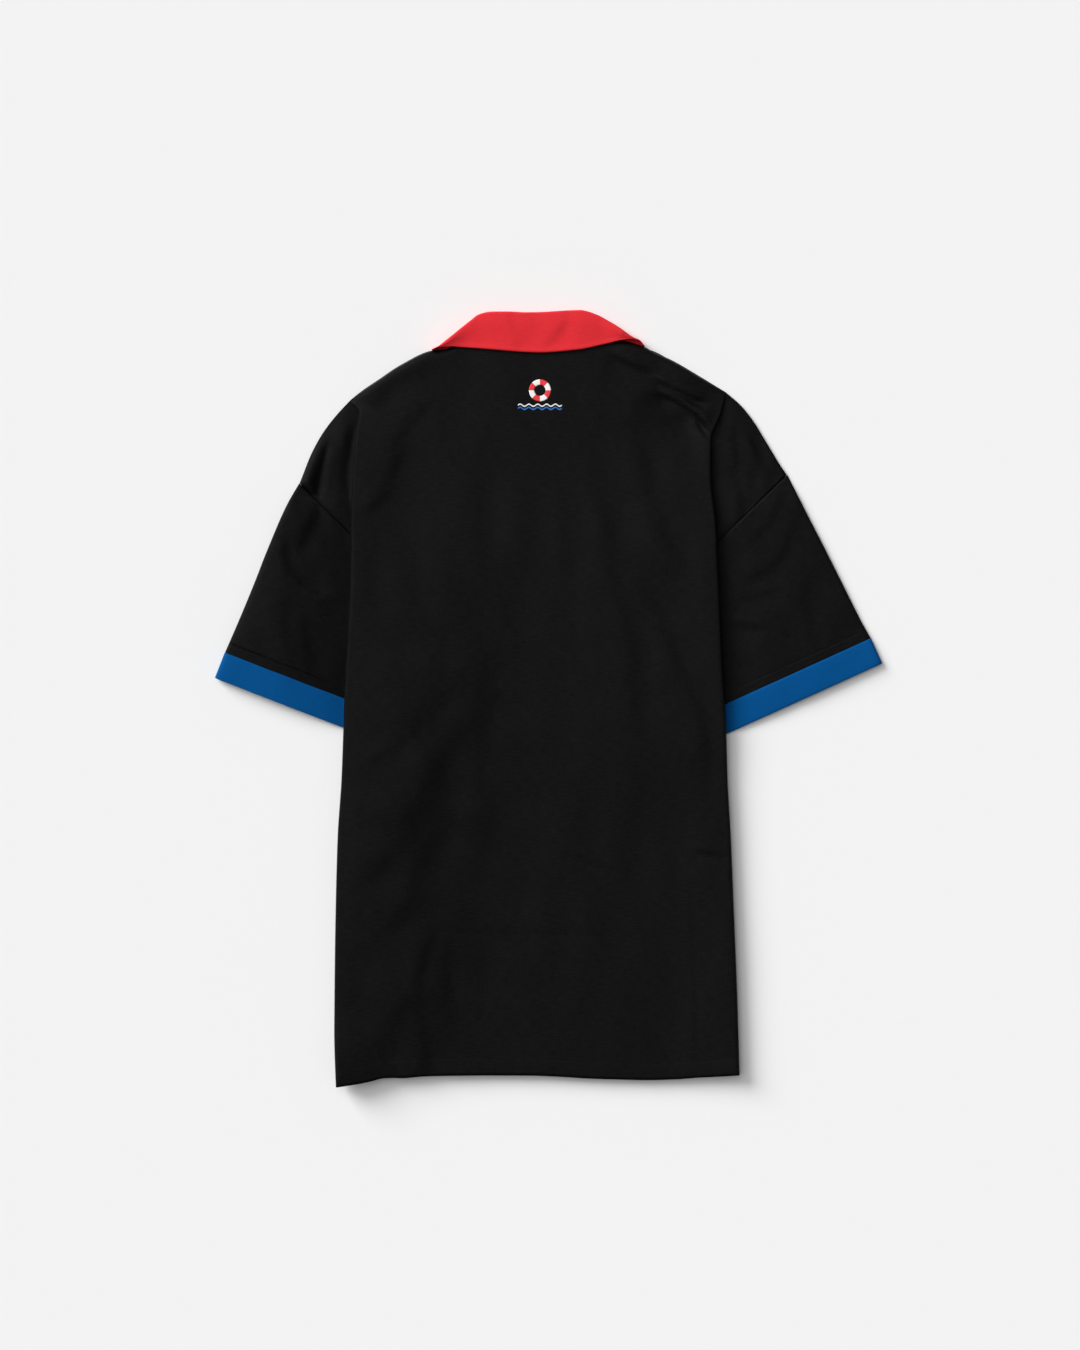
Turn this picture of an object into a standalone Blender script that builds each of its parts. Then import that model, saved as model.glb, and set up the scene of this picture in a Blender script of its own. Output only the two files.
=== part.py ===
"""A short-sleeved button-up shirt, laid flat with its back upwards.

The frame: +Z is up and the cloth lies on Z = 0. +Y points to the collar and +X to the
right sleeve as seen from above. Every size below is in millimetres, and becomes metres
when a mesh is made. Both sides of the body are turned under, so from the table upwards a
side has the back's flap, the front's flap, the front and the back, and higher up the
sleeve lies under these four. Each cloth piece is a middle surface worked out from its
cut lines and its heights, given its thickness by Solidify.
"""
import math

import bmesh
import bpy
import numpy as np

MM = 0.001
WALL = 1.0              # thickness of one layer of cloth
BAND_WALL = 1.4         # the sleeve bands are of doubled cloth
LAYER = 1.6             # rise from the middle of one layer to the middle of the next
FLOOR = WALL / 2        # middle height of cloth that lies on the table
ROLL_REACH = 6.0        # how far a turned side reaches inwards before it lies flat
INNER_ROLL_SHIFT = 1.7  # the front's turned side runs this far inside the back's
ARMHOLE_SHIFT = 2.0     # and this much further just above the flaps' upper end
ARMHOLE_SHIFT_UP = 12.0
ARMHOLE_SHIFT_REACH = 25.0
ROLL_RAISE_POWER = 1.5  # how late in its turn the front's side rises over the back's flap
SIDE_FALL = 42.0        # distance over which a raised side settles
LEFT_FALL = 95.0        # the back settles more slowly at the left, below the sleeve
LEFT_FALL_Y = 150.0
LEFT_FALL_OVER = 150.0
RIGHT_FALL = 85.0       # and at the right, beside the shoulder
RIGHT_FALL_Y = 110.0
RIGHT_FALL_OVER = 80.0
FLAP_RISE = 3.7         # lift of the flaps where a sleeve lies under them
FLAP_STEP_Y = -130.0    # the flaps come down to the table below this line
FLAP_STEP = 72.0
FLAP_EASE = 0.6         # spare height of the fronts over their flaps
FLAP_CLEAR = 24.0       # how far past the side seam the fronts stay raised
FLAP_SLOPE = 40.0       # and the distance in which they then come down
ARMHOLE_TOP_Y = 205.0   # the fronts begin to rise over the flaps here
ARMHOLE_RISE = 45.0     # and have risen this much lower down
SIDE_RISE_Y = 232.0     # likewise for the sides of the fronts
SIDE_RISE = 60.0
SIDE_GAP = 0.4          # spare height between front and back at the turned sides
BODY_SLACK = 2.0        # how far the back stands clear of the fronts
CAP_SWELL = 1.1         # crown of the shoulder's cloth outside the turned side
CAP_SWELL_WIDTH = 40.0
CAP_LIFT = 0.6          # the back's shoulder cloth lies this far above two layers
TURN_LENGTH = 10.0      # the back's side turns under within this distance
EDGE_EASE = 22.0        # the back settles on the front this close to its upper edge
CENTRE_X = -9.0         # centre line of the placket
PLACKET_HALF = 18.0
PLACKET_SPREAD = 24.0   # the rise over the buttons ends this far past the placket
PLACKET_FALL = 18.0     # and comes down in this distance
PLACKET_TOP_Y = 304.0   # there is no placket above this line
PLACKET_TOP_FADE = 20.0
BUTTON_RADIUS = 5.75
BUTTON_HEIGHT = 2.4
BUTTON_SIDES = 16
BUTTON_RIM = 0.5        # bevel round each face
BUTTON_TOP_Y = 240.0
BUTTON_PITCH = 100.0
BUTTON_COUNT = 6
BAND_DEPTH = 27.2
HEM_TUCK = 1.5          # the hidden hems end this far above the back's
SEAM = 0.3              # space left between two pieces at a seam
SLEEVE_PRESSED = 2.1    # middle height of a sleeve's upper layer under the body
LEFT_PUFF = (8.0, 75.0)     # its further rise, and over what distance outside the body
RIGHT_PUFF = (3.0, 45.0)
SEAM_PUFF = 0.25        # share of that rise at the armhole seam
SEAM_PUFF_RINGS = 2.0   # rings over which it becomes whole
PUFF_MEAN = 0.8         # which waves a little along and across the sleeve
PUFF_WAVE = 0.2
PUFF_WAVE_Y = 17.0
PUFF_WAVE_X = 29.0
BAND_PRESSED = 2.6      # middle height of a band's upper layer under the body
SLEEVE_START = 0.2      # spare space at the armhole seam
TUBE_ROUND = 3.0        # a tube's side turns down within this distance of its edge
TUBE_EDGE = 0.5         # middle of its wall, inside its outline
NECK_RISE = 1.6         # lift of the fronts over the collar's leaves
NECK_Y = 252.0          # that lift begins here
NECK_FADE = 20.0
NECK_LEFT = -140.0      # and lies between these
NECK_RIGHT = 125.0
NECK_SIDE_FADE = 22.0
COLLAR_ROLL = 7.0
COLLAR_RISE = 3.6
COLLAR_ROLL_SHARE = 0.45    # a shallow end of the collar has a smaller roll and rise
COLLAR_RISE_SHARE = 0.3
COLLAR_GAP = 0.4        # spare height between the fall and the back
COLLAR_LOOK = 9.0       # the fall clears the back this far below its edge too
HIDDEN_TRIM = 2.5       # a front's flap ends this far inside the back's at the seam

# The sides where the body is turned under: y, x, and the height of the cloth there.
LEFT_SIDE = np.array([
    (298, -199.0, 3.9), (285, -189.5, 8.0), (263, -192.0, 11.0), (230, -195.0, 13.0),
    (166, -197.6, 15.0), (103, -199.3, 16.0), (9, -204.2, 16.5), (-81, -207.4, 17.0),
    (-139, -211.3, 17.5), (-221, -213.5, 17.5), (-276, -214.3, 17.0), (-328, -214.7, 15.5),
    (-388, -212.8, 14.0)])
RIGHT_SIDE = np.array([
    (306, 177.0, 3.9), (285, 172.0, 6.5), (256, 161.8, 9.0), (222, 161.5, 11.0),
    (178, 166.0, 13.4), (134, 169.0, 15.0), (42, 173.0, 16.4), (-36, 177.3, 15.4),
    (-79, 178.6, 13.6), (-139, 182.0, 13.4), (-221, 185.4, 13.6), (-300, 188.5, 14.0),
    (-377, 190.8, 14.4)])

# The back's upper edge, from shoulder to shoulder by way of the neck: x, y.
BACK_TOP = np.array([
    (-199, 298.0), (-187, 307.5), (-170, 319.0), (-149, 333.0), (-117, 347.5),
    (-104, 349.0), (-89, 355.0), (-49, 360.0), (-9, 362.0), (31, 361.0), (66, 358.0),
    (78, 356.5), (85, 354.6), (92, 351.9), (97, 350.6), (123, 338.0), (149, 323.0),
    (167, 312.0), (177, 306.0)])
# The same edge on the fronts, where the neck dips to the top of the placket: x, y.
FRONT_TOP = np.array([
    (-199, 298.0), (-187, 307.5), (-170, 319.0), (-149, 333.0), (-117, 346.0),
    (-107, 346.0), (-76, 318.0), (-45, 284.0), (-27, 268.0), (9, 268.0), (27, 284.0),
    (58, 318.0), (89, 346.0), (97, 349.0), (123, 338.0), (149, 323.0), (167, 312.0),
    (177, 306.0)])
HEM = np.array([
    (-213, -388.0), (-199, -386.0), (-183, -384.0), (-166, -380.0), (-146, -380.0),
    (-100, -378.0), (-17, -377.5), (10, -378.5), (67, -381.5), (95, -382.0),
    (126, -381.0), (159, -379.0), (191, -376.5)])

# Rows where the shoulder's cloth reaches past the body's side: the y on the side, and the
# x and y of the row's outer end. The last rows end on the armhole seam.
LEFT_CAP = np.array([
    (298, -199, 298), (285, -213, 283), (268, -226, 266), (250, -238, 244),
    (235, -246, 224), (222, -249.5, 215), (204, -233, 198.9), (185, -214, 180.3),
    (165, -198, 164.7)])
RIGHT_CAP = np.array([
    (306, 177, 306), (292, 191, 294), (275, 204, 278), (256, 217, 257),
    (241, 229, 237), (227, 238, 223.5), (205, 217, 203.3), (182, 195, 182.0),
    (157, 168.5, 156.5)])
FLAP_TOP_Y = (142.0, 134.0)     # where the flaps begin, left and right
ROW_PITCH = 27.0

# Each armhole seam runs straight from the shoulder's corner to the underarm: x, y.
LEFT_ARMHOLE = np.array([(-249.5, 215.0), (-101.0, 70.0)])
RIGHT_ARMHOLE = np.array([(238.0, 223.5), (85.0, 76.0)])
# The side seams, at the inner edges of the flaps: y, x.
LEFT_SEAM = np.array([(-388, -103), (0, -99), (70, -101), (165, -198)])
RIGHT_SEAM = np.array([(-388, 95), (0, 87), (76, 85), (157, 168.5)])

# The sleeves' outer edges, from the armhole to the band: x, y.
LEFT_SLEEVE_EDGE = np.array([
    (-250.2, 213.6), (-260.3, 196), (-281.4, 148), (-295, 113), (-309, 79), (-323, 45.7)])
RIGHT_SLEEVE_EDGE = np.array([
    (238.9, 222.0), (255, 190), (277, 147), (301.5, 98), (311, 79), (322, 58.5)])
LEFT_BAND_CORNER = np.array([-333.5, 20.0])
RIGHT_BAND_CORNER = np.array([333.0, 34.6])
LEFT_BAND_SLOPE = math.radians(-21.25)
RIGHT_BAND_SLOPE = math.radians(-155.6)
BAND_WIDTH = 200.0

# The collar over the back of the neck: x, the folded upper edge, the edge of the fall and
# the edge of the leaf underneath.
COLLAR = np.array([
    (-115.5, 350.6, 348.2, 345), (-110, 353.2, 350.2, 343), (-97, 362.0, 351.3, 326),
    (-82, 373.8, 350.2, 297),
    (-70, 382, 351, 287), (-58, 385.3, 350, 292), (-45, 385.3, 348.8, 318),
    (-30, 385, 347, 346), (-9, 385, 345.4, 352), (12, 387, 346.4, 350),
    (30, 387.6, 348.8, 330), (42, 384, 351, 300), (54, 378, 354.2, 287),
    (67, 369, 356.6, 293), (82, 360.8, 357.4, 320), (96, 352.6, 349.2, 344)])
COLLAR_COLUMNS = 27
COLLAR_FALL_SHARES = (0.0, 0.3, 0.65)
COLLAR_ROLL_ANGLES = (90.0, 50.0, 12.0, -25.0, -60.0, -90.0)
COLLAR_LEAF_SHARES = (0.33, 0.66, 1.0)

# The largest folds in the back: both ends, half width, and height, below zero for a trough.
BACK_FOLDS = np.array([
    (116, 317, 152, 296, 9, -3.4), (118, 306, 160, 276, 9, 3.2),
    (-71, 250, -71, -366, 26, -1.8), (-136, 274, -187, 185, 13, -2.6),
    (-88, 23, -133, -34, 12, -2.4), (-97, -45, -141, -147, 13, -2.8),
    (-141, -147, -197, -200, 13, -2.6), (-88, -118, -141, -206, 13, -2.6),
    (-141, -206, -178, -250, 12, -2.2), (-129, -265, -122, -372, 14, -3.2),
    (-114, -70, -170, -172, 12, 1.8), (-108, -150, -160, -232, 12, 1.6),
    (56, 207, 103, -74, 20, -2.0), (85, 283, 135, 120, 20, -2.2),
    (135, 120, 162, -130, 20, -2.0), (110, 150, 140, -60, 16, 1.6)])
CORNER_LIFT = 9.0       # the left corner of the hem stands off the table
CORNER_Y = -300.0
CORNER_X = -150.0
CORNER_REACH = 80.0

# A turned side seen from its end: the angles of its half ellipse, and for the steep step
# above the armhole how far out and how far up its columns lie.
ROLL_ANGLES = np.radians([50.0, 15.0, -20.0, -55.0, -90.0])
STEP_OUT = np.array([2.2, 0.9, 0.5, 0.3, 0.0])
STEP_UP = np.array([0.95, 0.75, 0.5, 0.3, 0.18])
BACK_COLUMNS = 29
FRONT_COLUMNS = 9
PLACKET_COLUMNS = np.array([0.0, 2 * PLACKET_HALF, 2 * PLACKET_HALF + 8, 2 * PLACKET_HALF + 24])
UPPER_COLUMNS = 14      # of a tube's upper layer
LOWER_COLUMNS = 9       # and of its lower one
SLEEVE_RINGS = 9
SIDE_COLUMNS = 5        # of the back's shoulder ends and flaps
HIDDEN_COLUMNS = 4      # and of those of the fronts
MERGE_WITHIN = 0.02     # grid points closer than this are the same point
COLLAPSE_WITHIN = 0.01


def ramp(value):
    """Smooth step from 0 to 1 as the value goes from 0 to 1."""
    t = np.clip(value, 0.0, 1.0)
    return t * t * (3.0 - 2.0 * t)


def along(table, key, column, at):
    """Value of a table's column where its key column, in either order, equals 'at'."""
    order = np.argsort(table[:, key])
    return np.interp(at, table[order, key], table[order, column])


def left_side(y):
    return along(LEFT_SIDE, 0, 1, y)


def right_side(y):
    return along(RIGHT_SIDE, 0, 1, y)


def fold_relief(x, y, folds):
    """Sum of soft ridges: a bell across each segment, faded out at its two ends."""
    relief = np.zeros(np.broadcast(x, y).shape)
    for x0, y0, x1, y1, half_width, height in folds:
        length = math.hypot(x1 - x0, y1 - y0)
        ux, uy = (x1 - x0) / length, (y1 - y0) / length
        run = (x - x0) * ux + (y - y0) * uy
        off = (x - x0) * uy - (y - y0) * ux
        beyond = np.maximum(np.maximum(-run, run - length), 0.0)
        relief = relief + height * np.exp(-(off ** 2 + beyond ** 2) / half_width ** 2)
    return relief


def flap_height(y):
    """Middle height of the back's flap: raised where a sleeve lies under it."""
    return FLOOR + FLAP_RISE * ramp((y - FLAP_STEP_Y) / FLAP_STEP)


def corner_lift(x, y):
    """Height by which every layer rises at the hem's left corner."""
    return CORNER_LIFT * ramp((CORNER_Y - y) / CORNER_REACH) * ramp((CORNER_X - x) / CORNER_REACH)


def over_flaps(y):
    """Middle height of a front where it lies over both flaps, which end at the armhole."""
    full = flap_height(y) + 2 * LAYER + FLAP_EASE
    return FLOOR + (full - FLOOR) * ramp((ARMHOLE_TOP_Y - y) / ARMHOLE_RISE)


def front_height(x, y):
    """Middle height of the fronts: on the table, over the flaps, and raised at the sides."""
    past_left = x - LEFT_SEAM[:, 1].max() - FLAP_CLEAR
    past_right = RIGHT_SEAM[:, 1].min() - x - FLAP_CLEAR
    left_in = 1.0 - ramp(past_left / FLAP_SLOPE)
    right_in = 1.0 - ramp(past_right / FLAP_SLOPE)
    stack = FLOOR + (over_flaps(y) - FLOOR) * np.maximum(left_in, right_in)
    at_neck = ramp((y - NECK_Y) / NECK_FADE)
    in_neck = ramp((x - NECK_LEFT) / NECK_SIDE_FADE) * ramp((NECK_RIGHT - x) / NECK_SIDE_FADE)
    stack = stack + NECK_RISE * at_neck * in_neck
    raised = ramp((SIDE_RISE_Y - y) / SIDE_RISE)
    left_top = along(LEFT_SIDE, 0, 2, y) - LAYER - SIDE_GAP
    right_top = along(RIGHT_SIDE, 0, 2, y) - LAYER - SIDE_GAP
    left_near = np.exp(-((x - left_side(y)) / SIDE_FALL) ** 2) * raised
    right_near = np.exp(-((right_side(y) - x) / SIDE_FALL) ** 2) * raised
    height = stack + (left_top - stack) * left_near + (right_top - stack) * right_near
    return height + corner_lift(x, y)


def placket_height(x, y, inner):
    """Rise of the two overlapping front edges over the buttons."""
    off = np.abs(x - CENTRE_X)
    rise = BUTTON_HEIGHT + SEAM + (LAYER if inner else 0.0)
    across = ramp((PLACKET_HALF + PLACKET_SPREAD - off) / PLACKET_FALL)
    return rise * across * ramp((PLACKET_TOP_Y - y) / PLACKET_TOP_FADE)


def bridge_height(x, y):
    """Height of cloth drawn smoothly from the flaps on one side, over the placket, to the
    flaps on the other side."""
    to_left = (CENTRE_X - x) / (CENTRE_X - LEFT_SEAM[:, 1].max() - FLAP_CLEAR)
    to_right = (x - CENTRE_X) / (RIGHT_SEAM[:, 1].min() - FLAP_CLEAR - CENTRE_X)
    centre = FLOOR + placket_height(CENTRE_X, y, True)
    return centre + (over_flaps(y) - centre) * ramp(np.maximum(to_left, to_right))


def back_height(x, y):
    """Middle height of the back: above the fronts, with its folds and its raised sides."""
    under = front_height(x, y) + placket_height(x, y, True)
    lying = np.maximum(under, bridge_height(x, y))
    design = lying + LAYER + BODY_SLACK + fold_relief(x, y, BACK_FOLDS)
    slower = ramp((LEFT_FALL_Y - y) / LEFT_FALL_OVER)
    left_fall = SIDE_FALL + (LEFT_FALL - SIDE_FALL) * slower
    beside = ramp((y - RIGHT_FALL_Y) / RIGHT_FALL_OVER)
    right_fall = SIDE_FALL + (RIGHT_FALL - SIDE_FALL) * beside
    left_near = np.exp(-((x - left_side(y)) / left_fall) ** 2)
    right_near = np.exp(-((right_side(y) - x) / right_fall) ** 2)
    lift = corner_lift(x, y)
    design = design + (along(LEFT_SIDE, 0, 2, y) + lift - design) * left_near
    design = design + (along(RIGHT_SIDE, 0, 2, y) + lift - design) * right_near
    to_edge = ramp((along(BACK_TOP, 0, 1, x) - y) / EDGE_EASE)
    return under + LAYER + np.maximum(design - under - LAYER, 0.0) * to_edge


def row_sides():
    """The y of every row on the left side and on the right side of the body."""
    rows = int(round((FLAP_TOP_Y[0] - HEM[0, 1]) / ROW_PITCH)) + 1
    left = np.concatenate([LEFT_CAP[:, 0], np.linspace(FLAP_TOP_Y[0], HEM[0, 1], rows)])
    right = np.concatenate([RIGHT_CAP[:, 0], np.linspace(FLAP_TOP_Y[1], HEM[-1, 1], rows)])
    return left, right


def body_plan(top, left_x, right_x, share):
    """Plan points of a body panel, one row for each line of row_sides.

    A point's x is a share of the way between the panel's two sides. Its y keeps, between
    the upper edge and the hem, the part of the way that its row has at the two sides.
    """
    left_y, right_y = row_sides()
    x = left_x[:, None] * (1 - share) + right_x[:, None] * share
    down_left = ((left_y[0] - left_y) / (left_y[0] - left_y[-1]))[:, None]
    down_right = ((right_y[0] - right_y) / (right_y[0] - right_y[-1]))[:, None]
    down = down_left * (1 - share) + down_right * share
    start = along(top, 0, 1, x[:1])
    end = along(HEM, 0, 1, x[-1:])
    return x, start + (end - start) * down


def side_roll(side_x, y, top, cap, sign, turned):
    """Columns round a turned side, from the body's last column to the layer beneath.

    The upper part is half an ellipse from the top height down to the flap. Above the
    armhole the cloth comes out again as the shoulder, so there the columns go down a steep
    step to the height 'cap'. 'turned' says how much of the first form a row has.
    """
    flap = np.where(turned > 0, flap_height(y), cap)
    middle = (top + flap)[:, None] / 2
    half = (top - flap)[:, None] / 2
    round_x = FLOOR + ROLL_REACH * (1 - np.cos(ROLL_ANGLES))[None, :]
    round_z = middle + half * np.sin(ROLL_ANGLES)[None, :]
    steep_x = np.broadcast_to(STEP_OUT, round_x.shape)
    steep_z = cap[:, None] + (top - cap)[:, None] * STEP_UP[None, :]
    blend = turned[:, None]
    x = side_x[:, None] + sign * (round_x * blend + steep_x * (1 - blend))
    z = round_z * blend + steep_z * (1 - blend)
    return np.dstack([x, np.broadcast_to(y[:, None], x.shape), z])


def cap_block(roll, ends, edge_height, near_height, swell, columns):
    """Shoulder cloth between the foot of a side's step and its own outer edge.

    The first row has no width, because the step begins at a point of the upper edge.
    """
    start = roll[:len(ends), -1]
    t = np.linspace(0.0, 1.0, columns)[None, :]
    x = start[:, :1] * (1 - t) + ends[:, 1:2] * t
    y = start[:, 1:2] * (1 - t) + ends[:, 2:3] * t
    width = np.hypot(ends[:, 1] - start[:, 0], ends[:, 2] - start[:, 1])[:, None]
    bulge = swell * np.minimum(width / CAP_SWELL_WIDTH, 1.0) * 4.0 * t * (1 - t)
    z = near_height[:len(ends), None] * (1 - t) + edge_height * t
    z = np.minimum(z, start[:, 2:3] * (1 - t) + edge_height * t) + bulge
    z[:, 0] = start[:, 2]
    block = np.dstack([x, y, z])
    block[0] = start[0]
    return block


def flap_block(roll, first, seam, lift_layers, trim, columns):
    """The flap under a turned side, from the roll's foot to the side seam.

    Its hem ends a little above the hem that lies over it.
    """
    start = roll[first:, -1]
    y = start[:, 1]
    t = np.linspace(0.0, 1.0, columns)[None, :]
    end = along(seam, 0, 1, y) + trim
    x = start[:, :1] * (1 - t) + end[:, None] * t
    down = ((y[0] - y) / (y[0] - y[-1]))[:, None]
    hidden = along(HEM, 0, 1, x) + HEM_TUCK - y[-1]
    ys = y[:, None] + hidden * ramp(2.0 * t) * down ** 3
    z = flap_height(ys) + lift_layers * LAYER + corner_lift(x, ys)
    z[:, 0] = start[:, 2]
    return np.dstack([x, ys, z])


def inner_shift(y, armhole_y):
    """Distance of the front's turned side inside the back's, larger at the armhole."""
    near = np.exp(-((y - armhole_y) / ARMHOLE_SHIFT_REACH) ** 2)
    return INNER_ROLL_SHIFT + ARMHOLE_SHIFT * near


def turned_share(y, begins, over):
    """How far a row has gone from the shoulder's step to a fully turned side."""
    return ramp((begins - y) / over)


def grid_mesh(blocks):
    """One open surface from grids of points, with the points that they share merged."""
    mesh = bmesh.new()
    for block in blocks:
        rows, columns, _ = block.shape
        vertices = [mesh.verts.new(point * MM) for point in block.reshape(-1, 3)]
        for row in range(rows - 1):
            for column in range(columns - 1):
                corner = row * columns + column
                ring = [corner, corner + 1, corner + columns + 1, corner + columns]
                mesh.faces.new([vertices[i] for i in ring])
    bmesh.ops.remove_doubles(mesh, verts=mesh.verts, dist=MERGE_WITHIN * MM)
    bmesh.ops.dissolve_degenerate(mesh, edges=mesh.edges, dist=COLLAPSE_WITHIN * MM)
    bmesh.ops.recalc_face_normals(mesh, faces=mesh.faces)
    return mesh


def cloth_piece(name, blocks, material, wall=WALL):
    """A cloth object: the surface of the blocks with half the wall on each side of it."""
    surface = grid_mesh(blocks)
    data = bpy.data.meshes.new(name)
    surface.to_mesh(data)
    surface.free()
    data.shade_smooth()
    data.materials.append(material)
    piece = bpy.data.objects.new(name, data)
    solidify = piece.modifiers.new("Cloth thickness", "SOLIDIFY")
    solidify.thickness = wall * MM
    solidify.offset = 0.0
    solidify.use_even_offset = False
    return piece


def make_material(name, colour, roughness):
    material = bpy.data.materials.new(name)
    material.use_nodes = True
    shader = material.node_tree.nodes["Principled BSDF"]
    shader.inputs["Base Color"].default_value = (*colour, 1.0)
    shader.inputs["Roughness"].default_value = roughness
    shader.inputs["Metallic"].default_value = 0.0
    return material


def make_back(material):
    """The back panel: the body, its two turned sides, the shoulder's ends and the flaps."""
    left_y, right_y = row_sides()
    left_x = left_side(left_y)
    right_x = right_side(right_y)
    share = np.linspace(0.0, 1.0, BACK_COLUMNS)[None, :]
    reach = FLOOR + ROLL_REACH
    x, y = body_plan(BACK_TOP, left_x + reach, right_x - reach, share)
    main = np.dstack([x, y, back_height(x, y)])
    sides = []
    caps = len(LEFT_CAP)
    for sign, side_x, side_y, column, cap, seam in (
            (1, left_x, left_y, 0, LEFT_CAP, LEFT_SEAM),
            (-1, right_x, right_y, -1, RIGHT_CAP, RIGHT_SEAM)):
        top = main[:, column, 2]
        near = np.minimum(np.full(len(side_y), 2 * LAYER + CAP_LIFT), top)
        turned = turned_share(side_y, cap[-1, 0], TURN_LENGTH)
        low = corner_lift(side_x, side_y)
        roll = side_roll(side_x, side_y, top - low, near, sign, turned)
        roll[:, :, 2] += low[:, None]
        roll[:, :, 1] = main[:, column, 1][:, None]
        roll[0, :, 1] = along(BACK_TOP, 0, 1, roll[0, :, 0])
        ring = np.concatenate([main[:, column:column + 1 or None], roll], axis=1)
        sides.append(ring)
        sides.append(cap_block(roll, cap, FLOOR + LAYER, near, CAP_SWELL, SIDE_COLUMNS))
        sides.append(flap_block(roll, caps, seam, 0, 0.0, SIDE_COLUMNS))
    return cloth_piece("back", [main] + sides, material)


def make_front(name, sign, material):
    """One front, from its edge at the placket to its flap, inside the back's turned side."""
    left_y, right_y = row_sides()
    side_y, table, cap, seam = ((left_y, LEFT_SIDE, LEFT_CAP, LEFT_SEAM) if sign > 0 else
                                (right_y, RIGHT_SIDE, RIGHT_CAP, RIGHT_SEAM))
    inner = sign < 0
    side_x = along(table, 0, 1, side_y)
    edge = CENTRE_X + sign * PLACKET_HALF
    strip = edge - sign * PLACKET_COLUMNS
    caps = len(cap)
    shift = inner_shift(side_y, side_y[caps] + ARMHOLE_SHIFT_UP)
    body_x = side_x + sign * (FLOOR + ROLL_REACH + shift)
    t = np.linspace(0.0, 1.0, FRONT_COLUMNS)[None, 1:]
    x = np.concatenate([np.broadcast_to(strip, (len(side_y), len(strip))),
                        strip[-1] * (1 - t) + body_x[:, None] * t], axis=1)
    down = ((side_y[0] - side_y) / (side_y[0] - side_y[-1]))[:, None]
    start = along(FRONT_TOP, 0, 1, x[:1])
    end = along(HEM, 0, 1, x[-1:]) + HEM_TUCK
    y = start + (end - start) * down
    z = front_height(x, y) + placket_height(x, y, inner)
    main = np.dstack([x, y, z])
    top = main[:, -1, 2]
    near = np.minimum(np.full(len(side_y), FLOOR), top)
    turned = turned_share(side_y, cap[-2, 0], cap[-2, 0] - side_y[caps])
    low = corner_lift(side_x, side_y)
    roll = side_roll(side_x + sign * shift, side_y, top - low, near, sign, turned)
    foot = flap_height(side_y) + LAYER
    share = np.linspace(0.0, 1.0, len(ROLL_ANGLES))[None, :] ** ROLL_RAISE_POWER
    raised = (foot - flap_height(side_y))[:, None] * share * turned[:, None]
    roll[:, :, 2] += low[:, None] + raised
    roll[:, :, 1] = main[:, -1, 1][:, None]
    roll[0, :, 1] = along(FRONT_TOP, 0, 1, roll[0, :, 0])
    ring = np.concatenate([main[:, -1:], roll], axis=1)
    blocks = [main, ring, cap_block(roll, cap, FLOOR, near, 0.0, HIDDEN_COLUMNS),
              flap_block(roll, caps, seam, 1, -sign * HIDDEN_TRIM, HIDDEN_COLUMNS)]
    return cloth_piece(name, blocks, material)


def tube_piece(name, outer, inner, side, sign, wall, pressed, puff, risen, material):
    """A flattened tube: rings from its outer edge to its inner edge and back underneath.

    Each ring runs over the upper layer, turns down at the inner edge, comes back along the
    table and turns up at the outer edge. The upper layer is low under the body, and 'risen'
    is each ring's share of the puff.
    """
    t_top = np.linspace(0.0, 1.0, UPPER_COLUMNS)
    t_low = np.linspace(1.0, 0.0, LOWER_COLUMNS)
    low = wall / 2
    rings = []
    for start, end, share in zip(outer, inner, risen):
        span = end - start
        length = math.hypot(*span)
        inset = TUBE_ROUND / length
        top = start + span * (inset + t_top * (1 - 2 * inset))[:, None]
        bottom = start + span * (inset + t_low * (1 - 2 * inset))[:, None]
        outside = ramp(sign * (along(side, 0, 1, top[:, 1]) - top[:, 0]) / puff[1])
        swell = PUFF_MEAN + PUFF_WAVE * np.sin(top[:, 1] / PUFF_WAVE_Y + top[:, 0] / PUFF_WAVE_X)
        z_top = pressed + puff[0] * share * outside * swell
        start_mid = (z_top[0] + low) / 2
        end_mid = (z_top[-1] + low) / 2
        edge_in = start + span * TUBE_EDGE / length
        edge_out = end - span * TUBE_EDGE / length
        ring = [(*point, z) for point, z in zip(top, z_top)]
        ring.append((*edge_out, end_mid))
        ring += [(*point, low) for point in bottom]
        ring.append((*edge_in, start_mid))
        ring.append(ring[0])
        rings.append(ring)
    return cloth_piece(name, [np.array(rings)], material, wall)


def resample(line, count):
    """Points at even steps along a line of points."""
    steps = np.hypot(*np.diff(line, axis=0).T)
    run = np.concatenate([[0.0], np.cumsum(steps)])
    at = np.linspace(0.0, run[-1], count)
    return np.column_stack([np.interp(at, run, line[:, i]) for i in range(2)])


def band_ends(corner, slope, depth):
    """Outer and inner point of the line that lies 'depth' above the band's lower edge."""
    direction = np.array([math.cos(slope), math.sin(slope)])
    up = np.array([-direction[1], direction[0]])
    if up[1] < 0:
        up = -up
    outer = corner + up * depth
    return outer, outer + direction * BAND_WIDTH


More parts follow.
